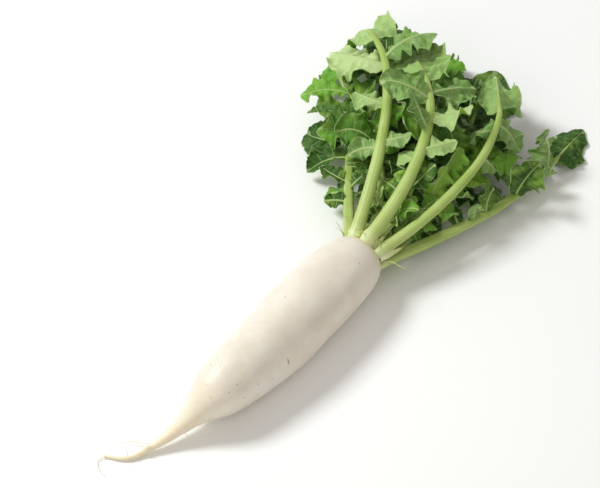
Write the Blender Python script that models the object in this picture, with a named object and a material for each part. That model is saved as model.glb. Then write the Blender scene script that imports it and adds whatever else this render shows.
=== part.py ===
"""A whole daikon radish, as pulled and washed: the white taproot with its thin tail, lying on its side,
and the leaves that grow from its crown. Metres, +Z up. The root lies along X with its crown towards +X.
The origin is the middle of the small flat spot that the root rests on.
"""

import itertools
import math
import random
from dataclasses import dataclass, replace

import bmesh
import bpy
import numpy as np
from mathutils import Vector
from mathutils.bvhtree import BVHTree

UP = np.array([0.0, 0.0, 1.0])

# --- driving dimensions -------------------------------------------------------------------------------

# The root's axis and radius, from the rim of the crown to the end of the tail: x, y, z, radius.
ROOT_STATIONS = [
    (0.0855, 0.0066, 0.0282, 0.0130),
    (0.0828, 0.0064, 0.0281, 0.0185),
    (0.0750, 0.0057, 0.0279, 0.0238),
    (0.0590, 0.0043, 0.0278, 0.0276),
    (0.0350, 0.0025, 0.0284, 0.0299),
    (0.0080, 0.0000, 0.0289, 0.0308),
    (-0.0300, -0.0045, 0.0286, 0.0304),
    (-0.0670, -0.0055, 0.0278, 0.0282),
    (-0.0930, -0.0062, 0.0270, 0.0256),
    (-0.1090, -0.0065, 0.0258, 0.0222),
    (-0.1230, -0.0056, 0.0230, 0.0158),
    (-0.1340, -0.0044, 0.0192, 0.0105),
    (-0.1500, -0.0015, 0.0125, 0.0062),
    (-0.1660, 0.0022, 0.0072, 0.0038),
    (-0.1780, 0.0068, 0.0042, 0.0027),
    (-0.1890, 0.0100, 0.0027, 0.0021),
    (-0.1975, 0.0165, 0.0021, 0.0016),
    (-0.2050, 0.0290, 0.0016, 0.0010),
]
ROOT_RINGS = 30
ROOT_SIDES = 24
LUMP = 0.012  # how far the skin swells and dips, as a share of the radius
LUMPS_ALONG = (26, -45)  # how fast the two sets of swellings turn along the root, in radians a metre

# The crown is the short green stub that the leaves grow from.
CROWN_RADIUS = 0.0084
CROWN_LENGTH = 0.0070
CROWN_MIDDLE = np.array(ROOT_STATIONS[0][:3])
CROWN_AXIS = np.array([1.0, 0.08, 0.02])
CROWN_TIP_RADIUS = 0.0008


@dataclass
class Leaf:
    """place is the angle round the crown, 0 on its right-hand side and 90 on top. spread is the angle that
    the stalk leaves the crown's axis at. tip, heading and climb are the stalk's far end and its direction
    there. thick is its stalk's width as a share of the usual. bare is the share of the stalk below the lobes,
    and lobe the length of the longest side lobe. lift is how far the lobes are raised from lying flat, on the
    left and on the right of the stalk. hood is how far the halves of the end lobe fold down, and hang how
    strongly it droops. The angles are in degrees."""

    name: str
    place: float
    spread: float
    tip: tuple
    heading: float
    climb: float
    thick: float = 1.0
    bare: float = 0.34
    lobe: float = 0.056
    lift: tuple = (8, 8)
    hood: float = 18
    hang: float = 0.4
    pairs: int = 3
    inner: bool = False

    @property
    def back_up(self):
        """A leaf from the top of the crown arches over and shows its underside."""
        return 0 < self.place < 180 and not self.inner


LEAVES = [
    Leaf("leaf_right_low", -21, 20, (0.282, -0.033, 0.013), 14, -4, 0.86, 0.38, 0.048, (34, 96), 38, pairs=4),
    Leaf("leaf_right_high", 30, 22, (0.262, 0.017, 0.056), 46, -10, 0.82, 0.62, 0.056, (8, -48), 40, pairs=2),
    Leaf("leaf_middle_high", 82, 17, (0.232, 0.074, 0.074), 60, -10, 1.0, 0.46, 0.066, hang=0.5),
    Leaf("leaf_left_high", 134, 27, (0.244, 0.144, 0.060), 66, -18, 0.92, 0.36, 0.066, hang=1.4),
    Leaf("leaf_left_low", 186, 44, (0.188, 0.124, 0.018), 54, -6, 0.80, 0.30, 0.050, pairs=4),
    Leaf("leaf_back_low", 237, 30, (0.256, 0.140, 0.010), 42, -3, 0.90, 0.36, 0.064, pairs=4),
    Leaf("leaf_under", 289, 17, (0.266, 0.050, 0.007), 26, -2, 0.90, 0.26, 0.066, pairs=4),
    Leaf("leaf_inner_top", 60, 8, (0.214, 0.050, 0.050), 30, -6, 1.0, 0.24, 0.050, pairs=5, inner=True),
    Leaf("leaf_inner_right", 348, 8, (0.222, 0.012, 0.028), 8, -12, 1.0, 0.24, 0.052, pairs=5, inner=True),
    Leaf("leaf_inner_left", 132, 18, (0.212, 0.150, 0.036), 56, -10, 1.0, 0.20, 0.056, pairs=5, inner=True),
    Leaf("leaf_inner_back", 204, 14, (0.196, 0.104, 0.030), 46, -6, 1.0, 0.20, 0.050, pairs=5, inner=True),
    Leaf("leaf_inner_low", 276, 10, (0.262, 0.092, 0.024), 30, -8, 1.0, 0.26, 0.056, pairs=5, inner=True),
]

# Leaf stalks stand on the crown in an outer and an inner ring: how far from the crown's axis and beyond
# the rim of the root they start, and their radius there.
OUTER_STALK = dict(out=0.0157, beyond=0.0016, radius=0.0061)
INNER_STALK = dict(out=0.0064, beyond=0.0082, radius=0.0034)
STALK_RINGS = 12
STALK_SIDES = 8
STALK_TIP_RADIUS = 0.0015
STALK_TAPER = 0.5  # below 1 a stalk stays thick for most of its length
STALK_HEIGHT = 0.88  # of the stalk's section, as a share of its width
STALK_FLARE = 0.08  # extra width at the foot, dying away over STALK_FLARE_LENGTH of the stalk
STALK_FLARE_LENGTH = 0.05
STALK_LEAVES = 0.42  # how firmly a stalk keeps the direction it starts in, as a share of its length
STALK_ARRIVES = 0.30
GROOVE = 0.22  # depth of the groove along the stalk's inner face, as a share of its radius

LOBE_WIDTH = 0.37  # half of it, as a share of its length
LOBE_FULLNESS = 0.72  # below 1 the lobe's outline is blunt, above 1 it is pointed
FIRST_LOBE = 0.42  # size of the lobes nearest the crown, as a share of the last
LOBE_PLACES = 60  # places along a stalk, at equal steps, that a lobe can grow from
END_LOBE = 0.98  # length of the end lobe, as a share of a side lobe's
END_LOBE_WIDTH = 0.46
END_LOBE_OVERLAP = 0.006  # how far back along the stalk the end lobe starts
VEIN_STEPS = 32  # straight pieces that a lobe's curled middle vein is worked out from
BLADE_THICK = 0.0007
VEIN_HIGH = 0.0016  # how far the middle vein stands out from the underside at the lobe's foot
VEIN_HALF_WIDTH = 0.0019  # at the lobe's foot
TOOTH_FORWARD = 0.62  # how far along each tooth its point lies
TOOTH_POINT = (0.94, 1.06)  # how far the margin stands out there, as a share of the lobe's half width
TOOTH_NOTCH = (0.70, 0.86)
FLOOR_GAP = 0.0014  # how high a blade's middle lies over the ground at its lowest
FLOOR_SOFTNESS = 0.003
CLEARANCE = 0.0007  # kept free around every blade while the leaves are laid out
FOOT_POINTS = 5  # the first points of a lobe's face lie in the stalk

# What a lobe tries when its place is taken: its size, then degrees of lift.
SIZES = (1.0, 0.84, 0.70, 0.56, 0.44)
LIFTS = (0, 14, -14, 28, -28, 44, 62, -44, 80)

SHARP_EDGE = math.radians(40)

COLOURS = {
    "root": ((0.86, 0.79, 0.69), 0.42),
    "leaf": ((0.13, 0.27, 0.04), 0.50),
    "leaf_back": ((0.25, 0.37, 0.13), 0.60),
}


# --- helpers ------------------------------------------------------------------------------------------


def unit(v):
    return v / np.linalg.norm(v, axis=-1, keepdims=True)


def turned(v, axis, degrees):
    """v turned about axis by the right-hand rule."""
    a = math.radians(degrees)
    k = unit(axis)
    return v * math.cos(a) + np.cross(k, v) * math.sin(a) + k * np.dot(k, v) * (1 - math.cos(a))


def smooth_line(points, count):
    """count rows along a Catmull-Rom curve through the points, which may carry a radius as well."""
    p = np.array(points, float)
    p = np.vstack([2 * p[0] - p[1], p, 2 * p[-1] - p[-2]])
    rows = []
    for u in np.linspace(0, len(points) - 1, count):
        i = min(int(u), len(points) - 2)
        t = u - i
        a, b, c, d = p[i : i + 4]
        bend = 2 * a - 5 * b + 4 * c - d
        rows.append(b + 0.5 * ((c - a) * t + bend * t**2 + (3 * b - a - 3 * c + d) * t**3))
    return np.array(rows)


def settled(points, gap):
    """The points, with those lower than gap, or nearly so, laid softly at that height over the ground."""
    z = points[..., 2] - gap
    points[..., 2] = gap + 0.5 * (z + np.sqrt(z**2 + FLOOR_SOFTNESS**2))
    return points


def lofted(rings):
    """(points, triangles) of the closed skin over rings of equal count."""
    count, sides = len(rings), len(rings[0])
    points = [p for ring in rings for p in ring]
    triangles = []
    for i in range(count - 1):
        for j in range(sides):
            a = i * sides + j
            b = i * sides + (j + 1) % sides
            triangles += [(a, a + sides, b), (b, a + sides, b + sides)]
    last = (count - 1) * sides
    for j in range(1, sides - 1):
        triangles += [(0, j, j + 1), (last, last + j + 1, last + j)]
    return np.array(points), triangles


def mesh_of(name, points, triangles):
    """A mesh with its faces turned outward."""
    mesh = bpy.data.meshes.new(name)
    mesh.from_pydata([tuple(p) for p in points], [], triangles)
    bm = bmesh.new()
    bm.from_mesh(mesh)
    bmesh.ops.recalc_face_normals(bm, faces=bm.faces)
    bm.to_mesh(mesh)
    bm.free()
    mesh.shade_smooth()
    return mesh


def new_object(name, mesh, colour):
    """A mesh object with its own Principled material."""
    material = bpy.data.materials.new(name)
    material.use_nodes = True
    rgb, roughness = COLOURS[colour]
    shader = material.node_tree.nodes["Principled BSDF"]
    shader.inputs["Base Color"].default_value = (*rgb, 1.0)
    shader.inputs["Roughness"].default_value = roughness
    shader.inputs["Metallic"].default_value = 0.0
    mesh.materials.append(material)
    obj = bpy.data.objects.new(name, mesh)
    bpy.context.scene.collection.objects.link(obj)
    return obj


# --- the root -----------------------------------------------------------------------------------------


def root_rings():
    """The rings of the taproot's skin, from the top of the crown to the end of the tail."""
    axis = unit(CROWN_AXIS)
    crown = []
    for step in (90, 60, 25, 0):
        a = math.radians(step)
        radius = max(CROWN_RADIUS * math.sqrt(max(math.cos(a), 0.0)), CROWN_TIP_RADIUS)
        middle = CROWN_MIDDLE + axis * (CROWN_TIP_RADIUS + CROWN_LENGTH * math.sin(a))
        crown.append((*middle, radius))
    line = smooth_line(ROOT_STATIONS, ROOT_RINGS)
    along = unit(np.gradient(line[:, :3], axis=0))
    along = np.vstack([[-axis] * len(crown), along])
    rings = []
    for (x, y, z, radius), forward in zip(np.vstack([crown, line]), along):
        side = unit(np.cross(forward, UP))
        up = np.cross(side, forward)
        ring = []
        for j in range(ROOT_SIDES):
            a = 2 * math.pi * j / ROOT_SIDES
            swell = math.sin(2 * a + LUMPS_ALONG[0] * x) + 0.7 * math.sin(3 * a + LUMPS_ALONG[1] * x + 1)
            r = radius * (1 + LUMP * swell)
            point = np.array([x, y, z]) + side * r * math.cos(a) + up * r * math.sin(a)
            point[2] = max(point[2], 0.0)
            ring.append(point)
        rings.append(ring)
    return rings


# --- leaf stalks --------------------------------------------------------------------------------------


def stalk_of(leaf):
    return INNER_STALK if leaf.inner else OUTER_STALK


def stalk_line(leaf, count):
    """Points, and the forward, up and right-hand directions, along a leaf's stalk."""
    axis = unit(CROWN_AXIS)
    right = unit(np.cross(axis, UP))
    a = math.radians(leaf.place)
    out = right * math.cos(a) + np.cross(right, axis) * math.sin(a)
    start = CROWN_MIDDLE + axis * stalk_of(leaf)["beyond"] + out * stalk_of(leaf)["out"]
    spread, heading, climb = map(math.radians, (leaf.spread, leaf.heading, leaf.climb))
    leaves = axis * math.cos(spread) + out * math.sin(spread)
    level = np.array([math.cos(heading), math.sin(heading), 0.0])
    arrives = level * math.cos(climb) + UP * math.sin(climb)
    tip = np.array(leaf.tip)
    span = np.linalg.norm(tip - start)
    first = start + leaves * span * STALK_LEAVES
    last = tip - arrives * span * STALK_ARRIVES
    t = np.linspace(0, 1, count)[:, None]
    line = start * (1 - t) ** 3 + 3 * first * t * (1 - t) ** 2 + 3 * last * t**2 * (1 - t) + tip * t**3
    line = settled(line, np.array([stalk_radius(leaf, share) for share in t[:, 0]]))
    along = unit(np.gradient(line, axis=0))
    up = unit(UP - along * (along @ UP)[:, None])
    return line, along, up, np.cross(along, up)


def stalk_radius(leaf, share):
    """Half the stalk's width at a share of its length: it flares at the foot and thins to the tip."""
    thinning = (stalk_of(leaf)["radius"] * leaf.thick - STALK_TIP_RADIUS) * (1 - share) ** STALK_TAPER
    return (STALK_TIP_RADIUS + thinning) * (1 + STALK_FLARE * math.exp(-share / STALK_FLARE_LENGTH))


def stalk_rings(leaf, extra=0.0):
    """Rings of the stalk: rounded outside, with a shallow groove down the inner face."""
    line, _, up, right = stalk_line(leaf, STALK_RINGS)
    inner_face = -math.pi / 2 if leaf.back_up else math.pi / 2
    rings = []
    for i in range(STALK_RINGS):
        radius = stalk_radius(leaf, i / (STALK_RINGS - 1))
        ring = []
        for j in range(STALK_SIDES):
            a = 2 * math.pi * j / STALK_SIDES
            groove = GROOVE * max(0.0, math.cos(a - inner_face)) ** 4
            r = radius * (1 - groove) + extra
            ring.append(line[i] + (right[i] * math.cos(a) + up[i] * STALK_HEIGHT * math.sin(a)) * r)
        rings.append(ring)
    return rings


# --- lobes --------------------------------------------------------------------------------------------


@dataclass
class Lobe:
    """One lobe of a leaf, at its side or, with end, at its end. The middle vein starts at foot and heads
    along, curling towards forward by sweep and towards the ground by droop. The blade lies square to up, its
    halves raised by fold degrees, and twist turns it along its length. stations are the shares of the length
    at which the margin has a notch or a tooth, and margins how far it stands out there, left and right."""

    end: bool
    foot: np.ndarray
    along: np.ndarray
    up: np.ndarray
    forward: np.ndarray
    length: float
    width: float
    belly: float
    sweep: float
    droop: float
    fold: float
    twist: float
    wave: float
    waves: float
    phases: tuple
    stations: list
    margins: tuple


def drawn_margin(draw, teeth, shift):
    """How far the margin stands out at each station: teeth on every other one."""
    tooth = [(i + shift) % 2 == 1 for i in range(2 * teeth + 1)]
    return [draw.uniform(*(TOOTH_POINT if point else TOOTH_NOTCH)) for point in tooth]


def drawn_lobe(draw, leaf, place, side, rank):
    """A lobe on one side of the stalk (-1 left, 1 right) or at its end (0). rank, 0 to 1, is its place."""
    at, along, up, right = place
    face = -1 if leaf.back_up else 1
    end = side == 0
    teeth = 5 if end else 3 + round(rank)
    lean = 0.0 if end else math.radians(draw.uniform(62, 92) - 18 * rank)
    raised = 0.0 if end else math.radians(leaf.lift[side > 0] + draw.uniform(-14, 14))
    outward = right * side * math.cos(raised) + up * math.sin(raised)
    heading = along * math.cos(lean) + outward * math.sin(lean)
    topside = up * math.cos(raised) - right * side * math.sin(raised)
    normal = np.cross(heading, np.cross(topside, heading))
    share = END_LOBE if end else FIRST_LOBE + (1 - FIRST_LOBE) * rank
    length = leaf.lobe * draw.uniform(0.86, 1.16) * share
    jitter = 0.12 / teeth
    points = [(k + TOOTH_FORWARD) / teeth + draw.uniform(-jitter, jitter) for k in range(teeth)]
    notches = [k / teeth + draw.uniform(-jitter, jitter) for k in range(1, teeth)]
    return Lobe(
        end=end,
        foot=at - along * (END_LOBE_OVERLAP if end else 0.0),
        along=heading,
        up=unit(normal) * face,
        forward=along,
        length=length,
        width=length * (END_LOBE_WIDTH if end else LOBE_WIDTH * draw.uniform(0.86, 1.18)),
        belly=0.85 if end else draw.uniform(0.92, 1.18),
        sweep=draw.uniform(-0.5, 0.5) if end else draw.uniform(-0.8, 1.3),
        droop=leaf.hang if end else draw.uniform(0.3, 1.3),
        fold=-face * leaf.hood if end else draw.uniform(-12, 32),
        twist=draw.uniform(-44, 44),
        wave=length * draw.uniform(0.07, 0.13),
        waves=draw.uniform(1.2, 2.1),
        phases=(draw.random(), draw.random()),
        stations=[0.0, *sorted(points + notches), 1.0],
        margins=(drawn_margin(draw, teeth, 0), drawn_margin(draw, teeth, 1)),
    )


def lobes_of(leaf):
    """The lobes that the leaf would carry on open ground, in pairs along the stalk and one at its end."""
    draw = random.Random(leaf.name)
    line, along, up, right = stalk_line(leaf, LOBE_PLACES)
    lobes = []
    for pair in range(leaf.pairs + 1):
        rank = pair / leaf.pairs
        for side in (0,) if pair == leaf.pairs else (-1, 1):
            stagger = (0.05 * side + draw.uniform(-0.03, 0.03)) * abs(side)
            share = leaf.bare + (1 - leaf.bare) * (rank + stagger)
            i = min(LOBE_PLACES - 1, round(share * (LOBE_PLACES - 1)))
            lobes.append(drawn_lobe(draw, leaf, (line[i], along[i], up[i], right[i]), side, rank))
    return lobes


def lobe_surface(lobe, s, v):
    """The middle surface of a lobe: s runs from its foot to its tip, v from -1 to 1 across it."""
    steps = np.linspace(0, 1, VEIN_STEPS + 1)
    heading = unit(lobe.along + steps[:, None] * (lobe.sweep * lobe.forward - lobe.droop * UP))
    runs = (heading[1:] + heading[:-1]) / 2 * lobe.length / VEIN_STEPS
    vein = lobe.foot + np.vstack([np.zeros(3), np.cumsum(runs, axis=0)])
    centre = np.stack([np.interp(s, steps, vein[:, k]) for k in range(3)], axis=-1)
    along = unit(np.stack([np.interp(s, steps, heading[:, k]) for k in range(3)], axis=-1))
    across = unit(np.cross(along, lobe.up))
    turn = np.radians(lobe.twist * s)[:, None]
    across = across * np.cos(turn) + np.cross(along, across) * np.sin(turn)
    normal = np.cross(across, along)
    body = lobe.width * np.sin(np.pi * np.clip(s, 0, 1) ** lobe.belly) ** LOBE_FULLNESS
    left, right = (np.interp(s, lobe.stations, margin) for margin in lobe.margins)
    half = body[:, None] * np.where(v < 0, left[:, None], right[:, None])
    half = np.maximum(half, VEIN_HALF_WIDTH * (1 - s)[:, None])
    phase = np.where(v < 0, *lobe.phases)
    calm_ends = np.sqrt(np.clip(4 * s * (1 - s), 0, 1))
    ripple = np.sin(2 * np.pi * (lobe.waves * s[:, None] + phase)) * calm_ends[:, None]
    fold = math.radians(lobe.fold)
    height = half * np.abs(v) * math.sin(fold) + lobe.wave * ripple * v**2
    reach = half * v * math.cos(fold)
    surface = centre[:, None] + across[:, None] * reach[..., None] + normal[:, None] * height[..., None]
    return settled(surface, FLOOR_GAP)


def lobe_solid(lobe, extra=0.0):
    """(points, triangles) of a closed thin lobe, with both faces cut into the same triangles."""
    s = np.array(lobe.stations)
    middle = lobe_surface(lobe, s, np.array([-1.0, 0.0, 1.0]))
    side_run = middle[:, 2] - middle[:, 0]
    side_run[-1] = side_run[-2]
    normal = unit(np.cross(side_run[:, None], np.gradient(middle, axis=0)))
    edge = BLADE_THICK / 2 + extra
    vein = edge + np.outer(VEIN_HIGH * (1 - 0.7 * s), [0, 1, 0])
    upper = middle + normal * edge
    lower = middle - normal * vein[..., None]
    rows = len(s) - 1
    end = 3 * rows
    shift = end + 1
    faces = [np.vstack([side[:rows].reshape(-1, 3), side[rows, 1]]) for side in (upper, lower)]
    face = []
    for a in range(0, end - 3, 3):
        face += [(a, a + 3, a + 1), (a + 1, a + 3, a + 4)]
        face += [(a + 1, a + 4, a + 5), (a + 1, a + 5, a + 2)]
    face += [(end - 3, end, end - 2), (end - 2, end, end - 1)]
    rim = [1, 0, *range(3, end, 3), end, *range(end - 1, 1, -3), 1]
    sides = [t for a, b in zip(rim, rim[1:]) for t in ((a, b, a + shift), (b, b + shift, a + shift))]
    return np.vstack(faces), face + [(a + shift, c + shift, b + shift) for a, b, c in face] + sides


# --- laying the leaves out ----------------------------------------------------------------------------


class Thicket:
    """What is already in place, and the leaf that each piece of it belongs to."""

    def __init__(self):
        self.taken = []

    def add(self, owner, points, triangles):
        tree = BVHTree.FromPolygons([Vector(p) for p in points], triangles)
        self.taken.append((owner, tree, points.min(axis=0), points.max(axis=0)))

    def leaves_room(self, owner, points, triangles):
        """Whether a lobe is clear of all of it. The lobe's foot may touch its own leaf."""
        low = points.min(axis=0)
        high = points.max(axis=0)
        half = len(points) // 2
        past_foot = [t for t in triangles if all(i % half > FOOT_POINTS for i in t)]
        spots = [Vector(p) for p in points]
        whole = BVHTree.FromPolygons(spots, triangles)
        blade = BVHTree.FromPolygons(spots, past_foot)
        for leaf, tree, below, above in self.taken:
            apart = (low > above).any() or (high < below).any()
            if not apart and tree.overlap(blade if leaf == owner else whole):
                return False
        return True


def bent(lobe, degrees, size):
    """The lobe turned up about its foot, and made smaller."""
    hinge = np.cross(lobe.along, lobe.up)
    return replace(
        lobe,
        along=turned(lobe.along, hinge, degrees),
        up=turned(lobe.up, hinge, degrees),
        length=lobe.length * size,
        width=lobe.width * size,
        wave=lobe.wave * size,
    )


def standing(leaves, root_skin):
    """The root and the bare stalks, which are in place before any lobe is."""
    thicket = Thicket()
    thicket.add("root", *root_skin)
    for leaf in leaves:
        thicket.add(leaf.name, *lofted(stalk_rings(leaf, CLEARANCE)))
    return thicket


def laid_out(wanted, thicket):
    """The lobes of each leaf, out of pairs of its name and a lobe, bent clear of all that is in place. End
    lobes are placed first, then the largest, and one that finds no place is left out."""
    placed = {name: [] for name, _ in wanted}
    for name, lobe in sorted(wanted, key=lambda item: (not item[1].end, -item[1].length)):
        for size, lift in itertools.product(SIZES, LIFTS):
            trial = bent(lobe, lift, size)
            solid = lobe_solid(trial, CLEARANCE)
            if thicket.leaves_room(name, *solid):
                thicket.add(name, *solid)
                placed[name].append(trial)
                break
    return placed


def one_body(mesh):
    """Keeps the largest joined-up part of a mesh, dropping scraps and sealed hollows."""
    bm = bmesh.new()
    bm.from_mesh(mesh)
    unseen = set(bm.faces)
    bodies = []
    while unseen:
        body = set()
        reached = [unseen.pop()]
        while reached:
            face = reached.pop()
            body.add(face)
            shared = [edge for edge in face.edges if len(edge.link_faces) == 2]
            next_to = {f for edge in shared for f in edge.link_faces} & unseen
            unseen -= next_to
            reached += next_to
        bodies.append(body)
    largest = max(bodies, key=len)
    bmesh.ops.delete(bm, geom=[f for f in bm.faces if f not in largest], context="FACES")
    bm.to_mesh(mesh)
    bm.free()


def closed(mesh):
    """Whether two faces meet at every edge."""
    bm = bmesh.new()
    bm.from_mesh(mesh)
    open_edges = [edge for edge in bm.edges if len(edge.link_faces) != 2]
    bm.free()
    return not open_edges


def joined_with(stalk, blades, solver):
    """A mesh of the stalk joined with every lobe in the collection."""
    join = stalk.modifiers.new("join_lobes", "BOOLEAN")
    join.operation = "UNION"
    join.operand_type = "COLLECTION"
    join.collection = blades
    join.solver = solver
    bpy.context.view_layer.update()
    joined = bpy.data.meshes.new_from_object(stalk.evaluated_get(bpy.context.evaluated_depsgraph_get()))
    stalk.modifiers.clear()
    one_body(joined)
    return joined


def fused(leaf, lobes):
    """The stalk and its lobes joined in one closed solid."""
    stalk_mesh = mesh_of(leaf.name, *lofted(stalk_rings(leaf)))
    stalk = new_object(leaf.name, stalk_mesh, "leaf_back" if leaf.back_up else "leaf")
    blades = bpy.data.collections.new("lobes")
    bpy.context.scene.collection.children.link(blades)
    for lobe in lobes:
        blades.objects.link(bpy.data.objects.new("lobe", mesh_of("lobe", *lobe_solid(lobe))))
    joined = joined_with(stalk, blades, "EXACT")
    if not closed(joined):
        joined = joined_with(stalk, blades, "MANIFOLD")
    stalk.data = joined
    joined.set_sharp_from_angle(angle=SHARP_EDGE)
    for blade in list(blades.objects):
        bpy.data.objects.remove(blade)
    bpy.data.collections.remove(blades)


for startup_object in list(bpy.data.objects):
    bpy.data.objects.remove(startup_object)
skin = lofted(root_rings())
new_object("root", mesh_of("root", *skin), "root")
layout = laid_out([(leaf.name, lobe) for leaf in LEAVES for lobe in lobes_of(leaf)], standing(LEAVES, skin))
for each in LEAVES:
    fused(each, layout[each.name])
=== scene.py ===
"""A whole daikon radish, as pulled and washed, lying on its side: the white taproot with its thin tail,
and the fan of toothed green leaves on thick stalks that grows from its crown. Metres, +Z up.
"""

import itertools
import math
import random
from dataclasses import dataclass, replace

import bmesh
import bpy
import numpy as np
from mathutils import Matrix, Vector
from mathutils.bvhtree import BVHTree


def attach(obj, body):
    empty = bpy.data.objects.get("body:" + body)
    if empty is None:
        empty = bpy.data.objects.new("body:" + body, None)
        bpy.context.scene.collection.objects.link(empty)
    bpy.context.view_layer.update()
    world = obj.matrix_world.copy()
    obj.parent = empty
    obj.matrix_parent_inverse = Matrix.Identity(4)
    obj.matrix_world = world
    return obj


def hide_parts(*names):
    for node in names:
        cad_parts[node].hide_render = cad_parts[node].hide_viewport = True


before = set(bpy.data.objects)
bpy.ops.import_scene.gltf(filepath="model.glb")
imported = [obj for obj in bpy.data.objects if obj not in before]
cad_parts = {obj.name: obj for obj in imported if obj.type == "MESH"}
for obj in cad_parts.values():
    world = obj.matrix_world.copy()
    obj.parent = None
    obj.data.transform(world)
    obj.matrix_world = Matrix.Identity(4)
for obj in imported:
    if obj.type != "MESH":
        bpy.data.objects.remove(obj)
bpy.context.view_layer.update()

# --- taproot ------------------------------------------------------------------------------------------
# The swollen root: crisp white flesh under a thin satin skin, which grew as one piece from the crown to
# the tail. The skin swells and dips, carries faint rings where it grew, and two rows of slit scars
# where the side rootlets sat. A flat spot under the middle keeps it from rolling.

UP = np.array([0.0, 0.0, 1.0])
ROOT_STATIONS = [  # x, y, z and radius, from the shoulder to the end of the tail
    (0.0855, 0.0066, 0.0282, 0.0130),
    (0.0828, 0.0064, 0.0281, 0.0185),
    (0.0750, 0.0057, 0.0279, 0.0238),
    (0.0590, 0.0043, 0.0278, 0.0276),
    (0.0350, 0.0025, 0.0284, 0.0299),
    (0.0080, 0.0000, 0.0289, 0.0308),
    (-0.0300, -0.0045, 0.0286, 0.0304),
    (-0.0670, -0.0055, 0.0278, 0.0282),
    (-0.0930, -0.0062, 0.0270, 0.0256),
    (-0.1090, -0.0065, 0.0258, 0.0222),
    (-0.1230, -0.0056, 0.0230, 0.0158),
    (-0.1340, -0.0044, 0.0192, 0.0105),
    (-0.1500, -0.0015, 0.0125, 0.0062),
    (-0.1660, 0.0022, 0.0072, 0.0038),
    (-0.1780, 0.0068, 0.0042, 0.0027),
    (-0.1890, 0.0100, 0.0027, 0.0021),
    (-0.1975, 0.0165, 0.0021, 0.0016),
    (-0.2050, 0.0290, 0.0016, 0.0010),
]
ROOT_RINGS = 430
ROOT_SIDES = 144
LUMP = 0.012  # the slow uneven swell of the root, as a share of its radius
LUMPS_ALONG = (26, -45)  # how fast its two waves turn along the root, in radians a metre
CROWN_RADIUS = 0.0084
CROWN_LENGTH = 0.0070
CROWN_MIDDLE = np.array(ROOT_STATIONS[0][:3])
CROWN_AXIS = np.array([1.0, 0.08, 0.02])
CROWN_TIP_RADIUS = 0.0008
CROWN_STEPS = 14
DENT = 0.00026  # how far the skin's uneven growth moves it in or out
DENT_WAVES = 16
DENTS_ALONG = (18, 150)  # radians a metre
DENTS_ROUND = (1, 7)  # whole waves round the root
DENT_SIZE = (0.3, 1.0)
FULL_RADIUS = 0.03  # the relief is less where the root is thinner than this
RING_HIGH = 0.00007  # the faint rings round the root
RING_STEP = 0.0055
SCAR_ROWS = (0.35, 3.45)  # the angles round the root of its two rows of rootlet scars, in radians
SCARS_A_ROW = 15
SCARS_FROM = 0.064  # x where a row starts
SCARS_REACH = 0.196  # how far the row runs towards the tail
SCAR_ALONG = 0.00045  # a scar's size along the root and round it
SCAR_ROUND = (0.0012, 0.0042)
SCAR_DEEP = 0.00042
SCARRED_RADIUS = 0.004  # where the root is thinner it has no scars or pits
SLIT = (-0.049, 2.85, 0.0004, 0.0042, 0.0006)  # one long scar: x, angle, size along and round, depth
PITS = 60
PITS_FROM = 0.06
PITS_REACH = 0.23
PITS_GATHER = 0.6  # below 1, more of them are near the tail
PIT_ANGLES = (-0.2, 3.5)
PIT_SIZE = (0.0004, 0.0009)
PIT_DEEP = 0.00030
KNOB = (-0.1778, 1.9, 0.0026, 0.0020, -0.0019)  # a healed side root that stands out near the tail's end
TAIL_YELLOWS = (-0.075, -0.17)  # between these x the skin turns cream yellow
RIM_YELLOWS = (0.0745, 0.0875)
CROWN_GREENS = (0.0832, 0.0868)
SPECK_CELLS = 150.0  # a metre
SPECK_EDGE = (0.15, 0.05)  # as shares of a cell
SPECKS_THIN_OUT = (-0.11, -0.03)  # they are thick below the first x, and rare above the second
SKIN_SEED = 21


def unit(v):
    return v / np.linalg.norm(v, axis=-1, keepdims=True)


def smooth_line(points, count):
    """count rows along a Catmull-Rom curve through the points."""
    p = np.array(points, float)
    p = np.vstack([2 * p[0] - p[1], p, 2 * p[-1] - p[-2]])
    u = np.linspace(0, len(points) - 1, count)
    i = np.minimum(u.astype(int), len(points) - 2)
    t = (u - i)[:, None]
    a, b, c, d = p[i], p[i + 1], p[i + 2], p[i + 3]
    bend = 2 * a - 5 * b + 4 * c - d
    return b + 0.5 * ((c - a) * t + bend * t**2 + (3 * b - a - 3 * c + d) * t**3)


def drawn_dents(draw):
    """Waves over the skin, each with its turns along the root, turns round it, size and start."""
    dents = []
    for _ in range(DENT_WAVES):
        along = draw.uniform(*DENTS_ALONG)
        around = draw.randint(*DENTS_ROUND)
        size = draw.uniform(*DENT_SIZE)
        dents.append((along, around, size, draw.uniform(0, 2 * math.pi)))
    return dents


def drawn_marks(draw):
    """The rootlet scars and pits: x, angle, size along and round the skin, and depth."""
    scars = []
    for angle, k in itertools.product(SCAR_ROWS, range(SCARS_A_ROW)):
        x = SCARS_FROM - SCARS_REACH * (k + draw.uniform(0.1, 0.9)) / SCARS_A_ROW
        round_skin = draw.uniform(*SCAR_ROUND)
        turn = angle + draw.uniform(-0.3, 0.3)
        scars.append((x, turn, SCAR_ALONG, round_skin, SCAR_DEEP * draw.uniform(0.4, 1)))
    pits = []
    for _ in range(PITS):
        x = PITS_FROM - PITS_REACH * draw.random() ** PITS_GATHER
        size = draw.uniform(*PIT_SIZE)
        pits.append((x, draw.uniform(*PIT_ANGLES), size, size, PIT_DEEP * draw.uniform(0.3, 1)))
    return [SLIT, *scars, *pits]


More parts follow.
